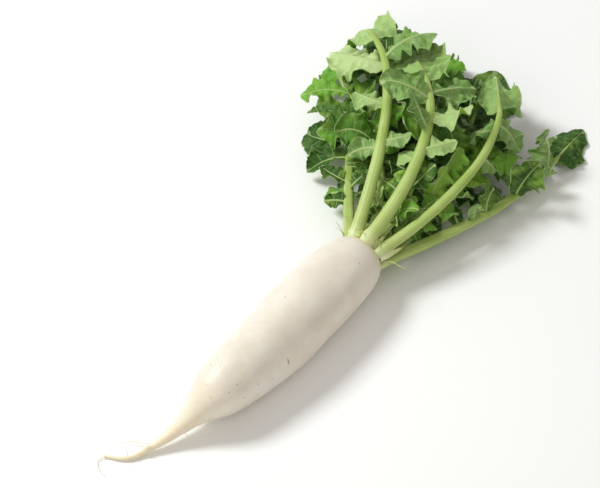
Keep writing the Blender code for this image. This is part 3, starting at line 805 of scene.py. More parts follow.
def ribbed_sweep():
    """A Geometry Nodes tree that sweeps a ribbed and grooved section along paths of edges. Each path's
    points carry their radius and the turn of the section there. Every point of the skin keeps its share
    of the way along and its angle round."""
    tree = bpy.data.node_groups.new("ribbed_sweep", "GeometryNodeTree")
    face = tree.interface
    face.new_socket("Geometry", in_out="INPUT", socket_type="NodeSocketGeometry")
    for name, kind in (
        ("Sides", "NodeSocketInt"),
        ("Ribs", "NodeSocketFloat"),
        ("Rib Height", "NodeSocketFloat"),
        ("Groove Depth", "NodeSocketFloat"),
        ("Groove Angle", "NodeSocketFloat"),
        ("Flatness", "NodeSocketFloat"),
        ("Finish", "NodeSocketMaterial"),
    ):
        face.new_socket(name, in_out="INPUT", socket_type=kind)
    face.new_socket("Geometry", in_out="OUTPUT", socket_type="NodeSocketGeometry")
    given = tree.nodes.new("NodeGroupInput").outputs
    ring = node(tree, "GeometryNodeCurvePrimitiveCircle", {"Resolution": given["Sides"], "Radius": 1.0})
    place = node(tree, "GeometryNodeInputPosition").outputs[0]
    axes = node(tree, "ShaderNodeSeparateXYZ", {0: place}).outputs
    angle = calc(tree, "ARCTAN2", axes["Y"], axes["X"])
    kept_angle = captured(tree, ring.outputs["Curve"], "Angle", angle)
    rib = calc(tree, "COSINE", calc(tree, "MULTIPLY", angle, given["Ribs"]))
    rib = calc(tree, "MULTIPLY", rib, given["Rib Height"])
    facing = calc(tree, "COSINE", calc(tree, "SUBTRACT", angle, given["Groove Angle"]))
    groove = calc(tree, "POWER", calc(tree, "MAXIMUM", facing, 0.0), 4.0)
    groove = calc(tree, "MULTIPLY", groove, given["Groove Depth"])
    out = calc(tree, "SUBTRACT", calc(tree, "ADD", 1.0, rib), groove)
    wide = calc(tree, "MULTIPLY", axes["X"], out)
    high = calc(tree, "MULTIPLY", calc(tree, "MULTIPLY", axes["Y"], out), given["Flatness"])
    shaped = node(tree, "ShaderNodeCombineXYZ", {"X": wide, "Y": high}).outputs[0]
    inputs = {"Geometry": kept_angle["Geometry"], "Position": shaped}
    section = node(tree, "GeometryNodeSetPosition", inputs).outputs[0]
    path = node(tree, "GeometryNodeMeshToCurve", {"Mesh": given["Geometry"]}).outputs[0]
    path = node(tree, "GeometryNodeSetCurveNormal", {"Curve": path}, mode="Z_UP").outputs[0]
    inputs = {"Curve": path, "Tilt": carried(tree, "turn")}
    path = node(tree, "GeometryNodeSetCurveTilt", inputs).outputs[0]
    share = node(tree, "GeometryNodeSplineParameter").outputs["Factor"]
    kept_share = captured(tree, path, "Share", share)
    inputs = {
        "Curve": kept_share["Geometry"],
        "Profile Curve": section,
        "Scale": carried(tree, "radius"),
        "Fill Caps": True,
    }
    skin_of = node(tree, "GeometryNodeCurveToMesh", inputs).outputs[0]
    for name, value in (("along", kept_share["Share"]), ("around", kept_angle["Angle"])):
        inputs = {"Geometry": skin_of, "Name": name, "Value": value}
        skin_of = node(tree, "GeometryNodeStoreNamedAttribute", inputs, data_type="FLOAT").outputs[0]
    inputs = {"Geometry": skin_of, "Shade Smooth": True}
    smooth = node(tree, "GeometryNodeSetShadeSmooth", inputs).outputs[0]
    real = node(tree, "GeometryNodeRealizeInstances", {"Geometry": smooth}).outputs[0]
    inputs = {"Geometry": real, "Material": given["Finish"]}
    done = node(tree, "GeometryNodeSetMaterial", inputs).outputs[0]
    node(tree, "NodeGroupOutput", {"Geometry": done})
    return tree


SWEEP = ribbed_sweep()


def swept(name, paths, sizes):
    """A plain mesh object of skins swept along paths, each of them rows of x, y, z, radius, turn. sizes
    holds the sweep's inputs by name."""
    points = np.vstack(paths)
    edges = []
    start = 0
    for path in paths:
        edges += [(start + i, start + i + 1) for i in range(len(path) - 1)]
        start += len(path)
    wire = bpy.data.meshes.new(name)
    wire.from_pydata(points[:, :3], edges, [])
    keep_value(wire, "radius", points[:, 3])
    keep_value(wire, "turn", points[:, 4])
    piece = placed(name, wire)
    modifier = piece.modifiers.new("sweep", "NODES")
    modifier.node_group = SWEEP
    for item in SWEEP.interface.items_tree:
        if item.item_type == "SOCKET" and item.in_out == "INPUT" and item.name in sizes:
            modifier[item.identifier] = sizes[item.name]
    bpy.context.view_layer.update()
    graph = bpy.context.evaluated_depsgraph_get()
    mesh = bpy.data.meshes.new_from_object(piece.evaluated_get(graph))
    piece.modifiers.clear()
    piece.data = mesh
    faced_outward(mesh)
    return piece


def smooth_step(x, low, high):
    """0 below low, 1 above high, with a soft rise between."""
    t = np.clip((x - low) / (high - low), 0, 1)
    return t * t * (3 - 2 * t)


def stalk_path(leaf, end_lobe):
    """Rows of x, y, z, radius, turn from inside the crown, along the stalk and out along its end
    lobe."""
    draw = random.Random(leaf.name + " stalk")
    span = np.linalg.norm(np.array(leaf.tip) - CROWN_MIDDLE)
    count = round(span / STALK_STEP)
    line, along, up, right = stalk_line(leaf, count)
    share = np.linspace(0, 1, count)
    for direction in (up, right):
        turns, start = draw.uniform(2.5, 4.5), draw.uniform(0, 2 * math.pi)
        sway = STALK_SWAY * share * np.sin(2 * math.pi * turns * share + start)
        line = line + direction * sway[:, None]
    radius = np.array([stalk_radius(leaf, t) for t in share])
    radius *= 1 + STALK_UNEVEN * np.sin(2 * math.pi * draw.uniform(3, 5) * share + draw.uniform(0, 6))
    axis = unit(CROWN_AXIS)
    from_axis = line[0] - CROWN_MIDDLE
    inward = -unit(from_axis - axis * (from_axis @ axis))
    depth = np.linspace(1, 0, ROOTED_STEPS, endpoint=False)[:, None]
    foot = line[0] + ROOTED * (inward * ROOTED_INWARD * depth**2 - along[0] * depth)
    foot_radius = radius[0] * (1 - ROOTED_THINNER * depth[:, 0] ** 2)
    kept = round(count * (1 - END_LOBE_OVERLAP / span))
    line, radius = line[:kept], radius[:kept]
    out = np.linspace(0, 1, VEIN_POINTS + 1)[1:]
    centre, _, normal = lobe_frame(end_lobe, VEIN_SHARE * out)
    vein_radius = VEIN_END_RADIUS + (radius[-1] - VEIN_END_RADIUS) * (1 - out) ** 1.2
    vein = centre - normal * (VEIN_SUNK * vein_radius * smooth_step(out, 0.0, 0.4))[:, None]
    vein = settled(vein, vein_radius)
    radius = np.concatenate([foot_radius, radius, vein_radius])
    return np.column_stack([np.vstack([foot, line, vein]), radius, 0 * radius])


def stalk_finish():
    """Pale yellow-green, a little waxy, whitish at the foot, with fine lengthwise streaks."""
    material, tree, shader = finish_called("leaf_stalk", 0.42, 0.35)
    place, along, around = own_place(tree), stored(tree, "along"), stored(tree, "around")
    cos_part = calc(tree, "MULTIPLY", calc(tree, "COSINE", around), STREAKS)
    sin_part = calc(tree, "MULTIPLY", calc(tree, "SINE", around), STREAKS)
    inputs = {"X": cos_part, "Y": sin_part, "Z": along}
    streak_place = node(tree, "ShaderNodeCombineXYZ", inputs).outputs[0]
    streaks = noise(tree, streak_place, 0.33, 3.0, 0.55)
    clouds = noise(tree, place, 0.018, 2.0, 0.5)
    base = mixed(tree, soft_range(tree, along, 0.0, 0.65), linear("B3C474"), linear("9BB556"))
    base = mixed(tree, soft_range(tree, clouds, 0.35, 0.7, 0.0, 0.5), base, linear("C0CE84"))
    base = mixed(tree, soft_range(tree, streaks, 0.45, 0.72, 0.0, 0.45), base, linear("8AA848"))
    base = mixed(tree, soft_range(tree, along, 0.085, 0.02, 0.0, 0.75), base, linear("DFE4B2"))
    tree.links.new(base, shader.inputs["Base Color"])
    let_light_in(shader, 0.30, (0.7, 1.0, 0.25), 0.0025)
    relief(tree, shader, streaks, 0.00022, 0.5)
    return material


STALK_FINISH = stalk_finish()
for leaf in LEAVES:
    stalk = swept(
        leaf.name + "_stalk",
        [stalk_path(leaf, next(lobe for lobe in layout[leaf.name] if lobe.end))],
        {
            "Sides": STALK_SIDES,
            "Ribs": float(STALK_RIBS),
            "Rib Height": STALK_RIB_HIGH,
            "Groove Depth": GROOVE,
            "Groove Angle": math.radians(90 if leaf.back_up else -90),
            "Flatness": STALK_HEIGHT,
            "Finish": STALK_FINISH,
        },
    )
    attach(stalk, "root")
    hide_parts(leaf.name)

# --- leaf blades --------------------------------------------------------------------------------------
# Each lobe is a thin, soft green blade with a coarse toothed edge, ruffled where the edge grew longer
# than the middle. Side veins run out to the teeth, and the blade puffs up between them and crumples. The
# pale middle vein and the side veins stand out from the underside, which is a duller grey green.

MM = 0.001
ROW_STEP = 0.0009  # between rows across a lobe
FEWEST_ROWS = 16
COLUMN_STEP = 0.0012  # between columns, from the middle vein to the edge
COLUMNS = (8, 17)  # the fewest and the most in each half
VEIN_COLUMN = 0.55  # where a column stands on the middle vein, as a share of its half width
VEIN_MOST = 0.6  # of the blade's half width
FINE_THICK = 0.00050
LIES_AT = 0.00015  # the lowest that a blade may be over the ground
RIB_HIGH = 0.0011  # how far the middle vein stands out from the underside
RIB_HALF_WIDTH = 0.00125  # of the middle vein at the lobe's foot
RIB_TIP_HALF_WIDTH = 0.00025
RIB_FLARE = 1.1  # extra width where it leaves the stalk
RIB_FLARE_LENGTH = 0.005
RIB_LOBE = 0.045  # in a lobe shorter than this the middle vein is thinner
RIDGE_LOBE = 0.04  # and in one shorter than this it is lower
RIB_HOLLOW = 0.0003  # how far it sinks into the upper face
TOOTH_ROUND = 1.35  # above 1 the teeth bulge and the notches are sharp
TOOTH_RISE = 0.72  # the shares of a small tooth that are its slow rise and its quick fall
TOOTH_FALL = 0.28
TOOTH_ROOM = 0.008  # small teeth are smaller where the blade's half width is less than this
SIDE_VEIN_LEAN = 0.13  # how far forward a side vein runs to the edge, as a share of the length
FULL_HALF = 0.015  # the half width at which puffs and ruffles have their full height
FULL_MOST = 1.3  # the most that they have in a wider blade, as a share of that
VEIN_SHOULDER = 0.004  # the strip beside the middle vein in which the puffs and hollows rise
PUFF = 0.0019  # how far the blade rises between its side veins
CRUMPLE = 0.0011  # size of the blade's small uneven hollows
CRUMPLE_WAVES = 7
CRUMPLE_STEP = (0.0055, 0.013)
SMALL_TOOTH = (0.0050, 0.0017)  # spacing along the edge and depth
FINE_TOOTH = (0.0021, 0.0006)
RUFFLE_STEP = 0.014
RUFFLE_HIGH = 0.0036
ROLL = 2.1  # how far round, in radians, an edge can roll over
ROLL_LEAST = 0.01  # a flat edge rolls by this, so that nothing is divided by 0
ROLL_START = 0.52  # where across the half blade the roll begins
DISH = 0.05  # how far each half blade bows up, as a share of its width
FOLD_SOFT = 0.002  # how far from the middle vein the blade takes to reach its fold
OLDER = 1.6  # how much darker the outer leaves are: 1 is not at all
SHADED_BELOW = 0.034  # lobes that start lower than this are painted darker: painted shade under the bunch
LEAFLETS = 38  # small ones on each inner leaf, and half as many on a low outer one
LEAFLET_LENGTH = (0.010, 0.027)
SMALL_VEINS = 3.0  # to each side vein
NET_CELLS = 0.55  # a millimetre


@dataclass
class Fine:
    """What only the finished blade shows: where its ruffles and small teeth start on either side, how far
    its edges curl over, how young and yellow it is, and the waves that crumple it, each with how fast it
    turns along and across the blade, in radians a metre, and its start."""

    starts: tuple
    curls: tuple
    tint: float
    crumples: list


def drawn_fine(draw):
    crumples = []
    for _ in range(CRUMPLE_WAVES):
        angle = draw.uniform(0, math.pi)
        turns = 2 * math.pi / draw.uniform(*CRUMPLE_STEP)
        start = draw.uniform(0, 2 * math.pi)
        crumples.append((turns * math.cos(angle), turns * math.sin(angle), start))
    return Fine(
        starts=tuple(draw.random() for _ in range(6)),
        curls=(draw.uniform(-1, 1), draw.uniform(-1, 1)),
        tint=draw.random(),
        crumples=crumples,
    )


def saw(place):
    """Small teeth that point forward: a slow rise and a quick fall, from 0 to 1."""
    t = place % 1
    return np.where(t < TOOTH_RISE, t / TOOTH_RISE, (1 - t) / TOOTH_FALL)


def fine_half_width(lobe, fine, s, side):
    """Half the lobe's width on one side (0 left, 1 right), with all its teeth."""
    body = lobe.width * np.sin(np.pi * s**lobe.belly).clip(0) ** LOBE_FULLNESS
    stations, margin = np.array(lobe.stations), np.array(lobe.margins[side])
    i = np.clip(np.searchsorted(stations, s, side="right") - 1, 0, len(stations) - 2)
    t = (s - stations[i]) / (stations[i + 1] - stations[i])
    rising = margin[i + 1] > margin[i]
    eased = np.where(rising, 1 - (1 - t) ** TOOTH_ROUND, t**TOOTH_ROUND)
    half = body * (margin[i] + (margin[i + 1] - margin[i]) * eased)
    room = np.minimum(1, body / TOOTH_ROOM)
    for (step, deep), start in ((SMALL_TOOTH, fine.starts[side]), (FINE_TOOTH, fine.starts[2 + side])):
        wander = 0.45 * np.sin(2 * np.pi * (2.6 * s + start))
        grown = 0.65 + 0.5 * np.sin(2 * np.pi * (1.7 * s + 3 * start))
        own_step = step * (0.8 + 0.55 * fine.starts[4 + side])
        tooth = saw(s * lobe.length / own_step + start + wander) - 0.5
        half += deep * grown * room * calm_at_ends(s) * tooth
    return half


def vein_count(lobe, s, side):
    """A number that is whole where a side vein reaches a tooth of the lobe's edge."""
    return (np.interp(s, lobe.stations, np.arange(len(lobe.stations))) + 1 - side) / 2


def rib_half_width(lobe, s):
    """Half the middle vein's width: it flares at the stalk and fades to a line."""
    plain = RIB_TIP_HALF_WIDTH + (RIB_HALF_WIDTH - RIB_TIP_HALF_WIDTH) * (1 - s) ** 1.3
    flare = 0.0 if lobe.end else RIB_FLARE
    scale = min(1.0, (lobe.length / RIB_LOBE) ** 0.6)
    return plain * scale * (1 + flare * np.exp(-s * lobe.length / RIB_FLARE_LENGTH))


def half_columns(lobe):
    """How many columns each half of the blade is cut into."""
    fewest, most = COLUMNS
    return max(fewest, min(most, round(lobe.width / COLUMN_STEP)))


def half_blade(lobe, fine, s, side):
    """For one side of a lobe: distances from the middle vein measured along the blade and straight
    across, heights over the flat blade, and side vein numbers. The first columns lie across the vein and
    the rest run out to the edge."""
    half = fine_half_width(lobe, fine, s, side)
    vein = rib_half_width(lobe, s)
    half = np.maximum(half, vein * (1 - s**6))
    vein = np.minimum(vein, half * VEIN_MOST)
    outer = np.linspace(0, 1, half_columns(lobe) - 1)[1:]
    beyond = vein[:, None] + np.outer(half - vein, outer)
    away = np.column_stack([0 * s, VEIN_COLUMN * vein, vein, beyond])
    v = away / np.maximum(half, 1e-6)[:, None]
    wide = np.minimum(half / FULL_HALF, FULL_MOST)[:, None]
    calm_ends = calm_at_ends(s)[:, None]
    number = vein_count(lobe, s[:, None] + SIDE_VEIN_LEAN * (1 - v**1.4) * s[:, None], side)
    panel = 0.75 + 0.35 * np.sin(7.1 * np.floor(number) + 6 * fine.starts[4 + side])
    off_vein = smooth_step(away, vein[:, None], vein[:, None] + VEIN_SHOULDER)
    high = PUFF * wide * panel * np.abs(np.sin(np.pi * number)) ** 0.7 * off_vein * (1 - 0.5 * v**3)
    for along_turns, across_turns, start in fine.crumples:
        here = along_turns * (s * lobe.length)[:, None] + across_turns * away * (2 * side - 1)
        high += CRUMPLE * CRUMPLE_WAVES**-0.5 * wide * off_vein * np.sin(here + start)
    turns = s * lobe.length / RUFFLE_STEP
    ruffle = np.sin(2 * np.pi * (turns + fine.starts[side] + 0.3 * np.sin(5 * s + 6 * fine.starts[4])))
    ruffle += 0.45 * np.sin(2 * np.pi * (1.83 * turns + fine.starts[2 + side]))
    high += RUFFLE_HIGH * wide * calm_ends * ruffle[:, None] * v**3
    uneven = 0.7 + 0.3 * np.sin(9 * s + 6 * fine.starts[5])
    turned_over = ROLL * fine.curls[side] * calm_ends * uneven[:, None]
    turned_over = np.where(np.abs(turned_over) < ROLL_LEAST, ROLL_LEAST, turned_over)
    margin = (1 - ROLL_START) * half[:, None] / turned_over
    rolled = turned_over * np.clip(v - ROLL_START, 0, None) / (1 - ROLL_START)
    straight = np.minimum(away, ROLL_START * half[:, None]) + margin * np.sin(rolled)
    high += margin * (1 - np.cos(rolled))
    phase = lobe.phases[side]
    wave = np.sin(2 * np.pi * (lobe.waves * s + phase))[:, None] * calm_ends
    high += lobe.wave * wave * v**2 + DISH * half[:, None] * np.sin(np.pi * v)
    return away, straight, high, number


def fine_lobe(lobe, fine):
    """(points, faces, face sides, length and width map, vein map, edge share) of one closed blade."""
    rows = max(FEWEST_ROWS, round(lobe.length / ROW_STEP))
    s = np.linspace(0, 1, rows + 1)
    centre, across, normal = lobe_frame(lobe, s)
    sides = [half_blade(lobe, fine, s, side) for side in (0, 1)]
    away, straight, high, number = (np.hstack([left[:, :0:-1], right]) for left, right in zip(*sides))
    sign = np.where(np.arange(away.shape[1]) < half_columns(lobe), -1, 1)
    signed = away * sign
    fold = math.radians(lobe.fold)
    bend = np.sqrt(straight**2 + FOLD_SOFT**2) - FOLD_SOFT
    middle = centre[:, None] + across[:, None] * (straight * sign * math.cos(fold))[..., None]
    middle += normal[:, None] * (high + bend * math.sin(fold))[..., None]
    middle = settled(middle, FLOOR_GAP)
    face_normal = np.cross(np.gradient(middle, axis=1), np.gradient(middle, axis=0))
    face_normal[-1] = face_normal[-2]
    face_normal = unit(face_normal + 1e-12 * normal[:, None])
    vein = rib_half_width(lobe, s)[:, None]
    ridge = np.sqrt(np.clip(1 - (away / vein) ** 2, 0, 1)) * np.minimum(1, lobe.length / RIDGE_LOBE)
    below = FINE_THICK / 2 + RIB_HIGH * (1 - 0.8 * s[:, None]) * ridge
    above = FINE_THICK / 2 - RIB_HOLLOW * ridge
    upper = middle + face_normal * above[..., None]
    lower = middle - face_normal * below[..., None]
    for side in (upper, lower):
        side[..., 2] = np.maximum(side[..., 2], LIES_AT)
    columns = away.shape[1]
    grid = np.arange(rows * columns).reshape(rows, columns)
    tip = rows * columns
    lift = tip + 1
    corners = [grid[:-1, :-1], grid[1:, :-1], grid[1:, 1:], grid[:-1, 1:]]
    quads = np.stack(corners, axis=-1).reshape(-1, 4)
    fan = [(a, tip, b) for a, b in zip(grid[-1], grid[-1, 1:])]
    front = quads.tolist() + fan
    back = [[i + lift for i in reversed(face)] for face in front]
    rim = [*grid[0, ::-1], *grid[1:, 0], tip, *grid[:0:-1, -1], grid[0, -1]]
    edge = [(b, a, a + lift, b + lift) for a, b in zip(rim, rim[1:])]

    def one_face(values):
        return np.vstack([values[:rows].reshape(-1, values.shape[-1]), values[rows, :1]])

    points = np.vstack([one_face(upper), one_face(lower)])
    run = np.broadcast_to(s[:, None] * lobe.length / MM, signed.shape)
    spans = np.stack([run, signed / MM], axis=-1)
    per_vein = 2 * lobe.length / MM / (len(lobe.stations) - 1)
    veins = np.stack([number, np.full_like(number, per_vein)], axis=-1)
    face_sides = [0] * len(front) + [1] * (len(back) + len(edge))
    edge_share = away / away[:, [0, -1]].max(axis=1, keepdims=True)
    maps = [np.vstack([one_face(m)] * 2) for m in (spans, veins, edge_share[..., None])]
    return points, front + back + edge, face_sides, *maps


def blade_colours(tree, tint, base, young, old):
    """The blade's green: each lobe has its own, from young to old, darkened by painted shade where it starts
    low, with cloudy patches.
    """
    clouds = noise(tree, own_place(tree), 0.02, 3.0, 0.6)
    green = mixed(tree, soft_range(tree, tint, 0.15, 0.6, 1.0, 0.0), linear(base), linear(old))
    green = mixed(tree, soft_range(tree, tint, 0.6, 1.0, 0.0, 0.8), green, linear(young))
    return mixed(tree, soft_range(tree, clouds, 0.45, 0.75, 0.0, 0.5), green, linear(young))


def blade_finish(name, base, young, old, vein, roughness, vein_strength, through, relief_up):
    """A leaf blade's face, with its middle vein, side veins and fine net of veins."""
    material, tree, shader = finish_called(name, roughness, 0.30)
    spans = node(tree, "ShaderNodeUVMap", uv_map="spans").outputs[0]
    veins = node(tree, "ShaderNodeUVMap", uv_map="veins").outputs[0]
    span = node(tree, "ShaderNodeSeparateXYZ", {0: spans}).outputs
    number = node(tree, "ShaderNodeSeparateXYZ", {0: veins}).outputs
    away = calc(tree, "ABSOLUTE", span["Y"])
    half_vein = soft_range(tree, span["X"], 0.0, 60.0, 1.05, 0.25)
    middle = soft_range(tree, calc(tree, "DIVIDE", away, half_vein), 1.25, 0.7)
    to_vein = calc(tree, "PINGPONG", number["X"], 0.5)
    to_vein = calc(tree, "MULTIPLY", to_vein, number["Y"])
    thin = soft_range(tree, away, 0.0, 16.0, 0.42, 0.16)
    side_vein = soft_range(tree, calc(tree, "DIVIDE", to_vein, thin), 1.6, 0.5)
    small = calc(tree, "PINGPONG", calc(tree, "MULTIPLY", number["X"], SMALL_VEINS), 0.5)
    small = calc(tree, "MULTIPLY", small, calc(tree, "DIVIDE", number["Y"], SMALL_VEINS))
    small_vein = soft_range(tree, small, 0.35, 0.1, 0.0, 0.28)
    warp = noise(tree, spans, 4.0, 2.0, 0.5)
    aside = node(tree, "ShaderNodeCombineXYZ", {"X": warp}).outputs[0]
    net_place = node(tree, "ShaderNodeVectorMath", {0: spans, 1: aside}).outputs[0]
    inputs = {"Vector": net_place, "Scale": NET_CELLS}
    net = node(tree, "ShaderNodeTexVoronoi", inputs, feature="DISTANCE_TO_EDGE")
    net_vein = soft_range(tree, net.outputs["Distance"], 0.10, 0.0, 0.0, 0.35)
    all_veins = calc(tree, "MAXIMUM", calc(tree, "MAXIMUM", side_vein, small_vein), net_vein)
    colour = blade_colours(tree, stored(tree, "tint"), base, young, old)
    fine_share = calc(tree, "MULTIPLY", all_veins, vein_strength)
    colour = mixed(tree, fine_share, colour, linear(vein))
    colour = mixed(tree, calc(tree, "MULTIPLY", middle, 0.9), colour, linear("C4D88E"))
    edge = soft_range(tree, stored(tree, "edge"), 0.90, 1.0, 0.0, 0.30)
    colour = mixed(tree, edge, colour, linear(vein))
    tree.links.new(colour, shader.inputs["Base Color"])
    height = calc(tree, "MAXIMUM", all_veins, middle)
    if not relief_up:
        height = calc(tree, "SUBTRACT", 1.0, height)
    crumple = noise(tree, spans, 2.2, 2.0, 0.6)
    height = calc(tree, "ADD", height, calc(tree, "MULTIPLY", crumple, 0.8))
    relief(tree, shader, height, 0.0006, 0.8)
    glow = mixed(tree, 0.5, colour, linear("A6CC3C"))
    back_light = node(tree, "ShaderNodeBsdfTranslucent", {"Color": glow}).outputs[0]
    inputs = {0: through, 1: shader.outputs[0], 2: back_light}
    both = node(tree, "ShaderNodeMixShader", inputs).outputs[0]
    tree.links.new(both, tree.nodes["Material Output"].inputs["Surface"])
    return material


UPPER_FINISH = blade_finish(
    "leaf_blade_upper", "76B534", "BADF56", "315F17", "C4DE8C", 0.44, 0.45, 0.22, relief_up=False
)
UNDER_FINISH = blade_finish(
    "leaf_blade_underside", "ACD276", "D2E8A4", "80AE52", "DFEDBE", 0.54, 0.60, 0.20, relief_up=True
)


def leaflets_of(leaf):
    """Small crinkled leaflets that stand between the lobes and below them, at any angle. The leaves on
    top have none."""
    draw = random.Random(leaf.name + " leaflets")
    line, along, up, right = stalk_line(leaf, LOBE_PLACES)
    count = LEAFLETS if leaf.inner else 0 if leaf.back_up else LEAFLETS // 2
    lowest = leaf.bare * (0.5 if leaf.inner else 1.0)
    made = []
    for k in range(count):
        share = lowest + (0.97 - lowest) * (k + draw.random()) / count
        i = round(share * (LOBE_PLACES - 1))
        place = (line[i], along[i], up[i], right[i])
        lobe = drawn_lobe(draw, leaf, place, draw.choice((-1, 1)), share)
        made.append(bent(lobe, draw.uniform(-45, 45), draw.uniform(*LEAFLET_LENGTH) / lobe.length))
    return made


leaflets = laid_out([(leaf.name, lobe) for leaf in LEAVES for lobe in leaflets_of(leaf)], thicket)


def blades_of(leaf, lobes):
    """One mesh of all the leaf's lobes."""
    draw = random.Random(leaf.name + " blades")
    fines = [drawn_fine(draw) for _ in lobes]
    made = [fine_lobe(lobe, fine) for lobe, fine in zip(lobes, fines)]
    # Lobes that start low, under the bunch, get the old dark green: painted shade, mixed into each lobe's own
    # age.
    painted_shade_by_height = [min(1.0, (lobe.foot[2] / SHADED_BELOW) ** 1.5) for lobe in lobes]
    ages_and_painted_shade = [high * fine.tint ** (1 if leaf.inner else OLDER) for high, fine in zip(painted_shade_by_height, fines)]
    points = np.vstack([m[0] for m in made])
    faces, face_sides, start = [], [], 0
    for own_points, own_faces, own_sides, *_ in made:
        faces += [[i + start for i in face] for face in own_faces]
        face_sides += own_sides
        start += len(own_points)
    mesh = bpy.data.meshes.new(leaf.name + "_blades")
    mesh.from_pydata(points, [], faces)
    mesh.shade_smooth()
    mesh.materials.append(UPPER_FINISH)
    mesh.materials.append(UNDER_FINISH)
    mesh.polygons.foreach_set("material_index", face_sides)
    corner = np.empty(len(mesh.loops), np.int32)
    mesh.loops.foreach_get("vertex_index", corner)
    for name, part in (("spans", 3), ("veins", 4)):
        layer = mesh.uv_layers.new(name=name)
        values = np.vstack([m[part] for m in made])[corner]
        layer.data.foreach_set("uv", values.astype(np.float32).ravel())
    keep_value(mesh, "tint", np.concatenate([np.full(len(m[0]), t) for m, t in zip(made, ages_and_painted_shade)]))
    keep_value(mesh, "edge", np.vstack([m[5] for m in made]))
    mesh.set_sharp_from_angle(angle=math.radians(60))
    return mesh


for leaf in LEAVES:
    lobes = layout[leaf.name] + leaflets.get(leaf.name, [])
    blades = placed(leaf.name + "_blades", blades_of(leaf, lobes))
    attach(blades, "root")
    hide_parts(leaf.name)

# --- scales, stubs and threads on the crown -----------------------------------------------------------
# Withered bases of the first leaves: thin papery scales that stand between the stalks, pale with brown
# tips, a few torn stubs of stalk, and curled threads. All of them grow from the rim of the crown.

SCALES = 15
SCALE_LENGTH = (0.009, 0.026)
SCALE_RADIUS = (0.0018, 0.0042)
SCALE_TIP_RADIUS = 0.0001
SCALE_STEPS = 14
SCALE_RING = (0.0120, 0.0215)  # how far from the crown's axis scales and threads stand
SCALE_START = -0.0015  # where along the crown's axis they start
THREADS = 12
THREAD_LENGTH = (0.014, 0.034)
THREAD_RADIUS = 0.00045
THREAD_STEPS = 26
THREAD_START = 0.001
STUB_PLACES = (314, 8, 108)  # angles round the crown, in degrees
STUB_LENGTH = 0.011
STUB_RADIUS = 0.0024
STUB_OUT = 0.0178
STUB_START = -0.002
SCALE_CURL = 0.5  # how strongly each kind wanders off its heading
STUB_CURL = 0.4
THREAD_CURL = 3.2
CURL_GAP = 0.0008  # the lowest that such a line lies over the ground
ROUND_SECTION = {"Ribs": 0.0, "Rib Height": 0.0, "Groove Depth": 0.0, "Flatness": 1.0}
REMNANT_SEED = 5


def curled_path(draw, start, heading, length, count, curl):
    """Rows of x, y, z along a line that wanders off its heading."""
    points = [start]
    bend = np.array([draw.uniform(-1, 1) for _ in range(3)])
    for _ in range(count - 1):
        bend = bend + np.array([draw.uniform(-1, 1) for _ in range(3)]) * 0.6
        heading = unit(heading + bend * curl / count)
        points.append(points[-1] + heading * length / (count - 1))
    return settled(np.array(points), CURL_GAP)


def scale_path(draw, k):
    """A flat pointed scale that bends away from the stalks it grew round."""
    degrees = 360 * (k + draw.uniform(0.1, 0.9)) / SCALES
    start, outward = crown_place(degrees, draw.uniform(*SCALE_RING), SCALE_START)
    heading = unit(unit(CROWN_AXIS) + outward * draw.uniform(-0.1, 0.55))
    length = draw.uniform(*SCALE_LENGTH)
    line = curled_path(draw, start, heading, length, SCALE_STEPS, SCALE_CURL)
    t = np.linspace(0, 1, SCALE_STEPS)
    pointed = (1 - t**1.6) ** 0.8
    bellied = 0.75 + 0.5 * np.sin(np.pi * t)
    radius = draw.uniform(*SCALE_RADIUS) * pointed * bellied + SCALE_TIP_RADIUS
    turn = math.radians(90 - degrees) + draw.uniform(-0.3, 0.3) + 0.5 * draw.uniform(-1, 1) * t
    return np.column_stack([line, radius, turn])


def thread_path(draw):
    """A curled thread from the crown."""
    start, outward = crown_place(draw.uniform(0, 360), draw.uniform(*SCALE_RING), THREAD_START)
    heading = unit(unit(CROWN_AXIS) + outward * draw.uniform(0.2, 1.0))
    length = draw.uniform(*THREAD_LENGTH)
    line = curled_path(draw, start, heading, length, THREAD_STEPS, THREAD_CURL)
    radius = THREAD_RADIUS * np.linspace(1.2, 0.45, THREAD_STEPS)
    return np.column_stack([line, radius, 0 * radius])


def stub_path(draw, degrees):
    """The stub of a stalk that was torn off."""
    start, outward = crown_place(degrees, STUB_OUT, STUB_START)
    heading = unit(unit(CROWN_AXIS) + outward * 0.35)
    length = STUB_LENGTH * draw.uniform(0.6, 1.2)
    line = curled_path(draw, start, heading, length, SCALE_STEPS, STUB_CURL)
    radius = STUB_RADIUS * draw.uniform(0.7, 1.1) * np.linspace(1.0, 0.62, SCALE_STEPS)
    return np.column_stack([line, radius, 0 * radius])


def withered_finish(name, foot, body, tip):
    """A dried remnant of a leaf stalk: pale at its foot, streaked, and brown at its torn end."""
    material, tree, shader = finish_called(name, 0.72, 0.2)
    along = stored(tree, "along")
    streaks = noise(tree, own_place(tree), 0.0016, 3.0, 0.6)
    base = mixed(tree, soft_range(tree, along, 0.0, 0.5), linear(foot), linear(body))
    base = mixed(tree, soft_range(tree, streaks, 0.5, 0.75, 0.0, 0.5), base, linear(tip))
    base = mixed(tree, soft_range(tree, along, 0.75, 1.0, 0.0, 0.8), base, linear(tip))
    tree.links.new(base, shader.inputs["Base Color"])
    relief(tree, shader, streaks, 0.0003, 0.7)
    return material


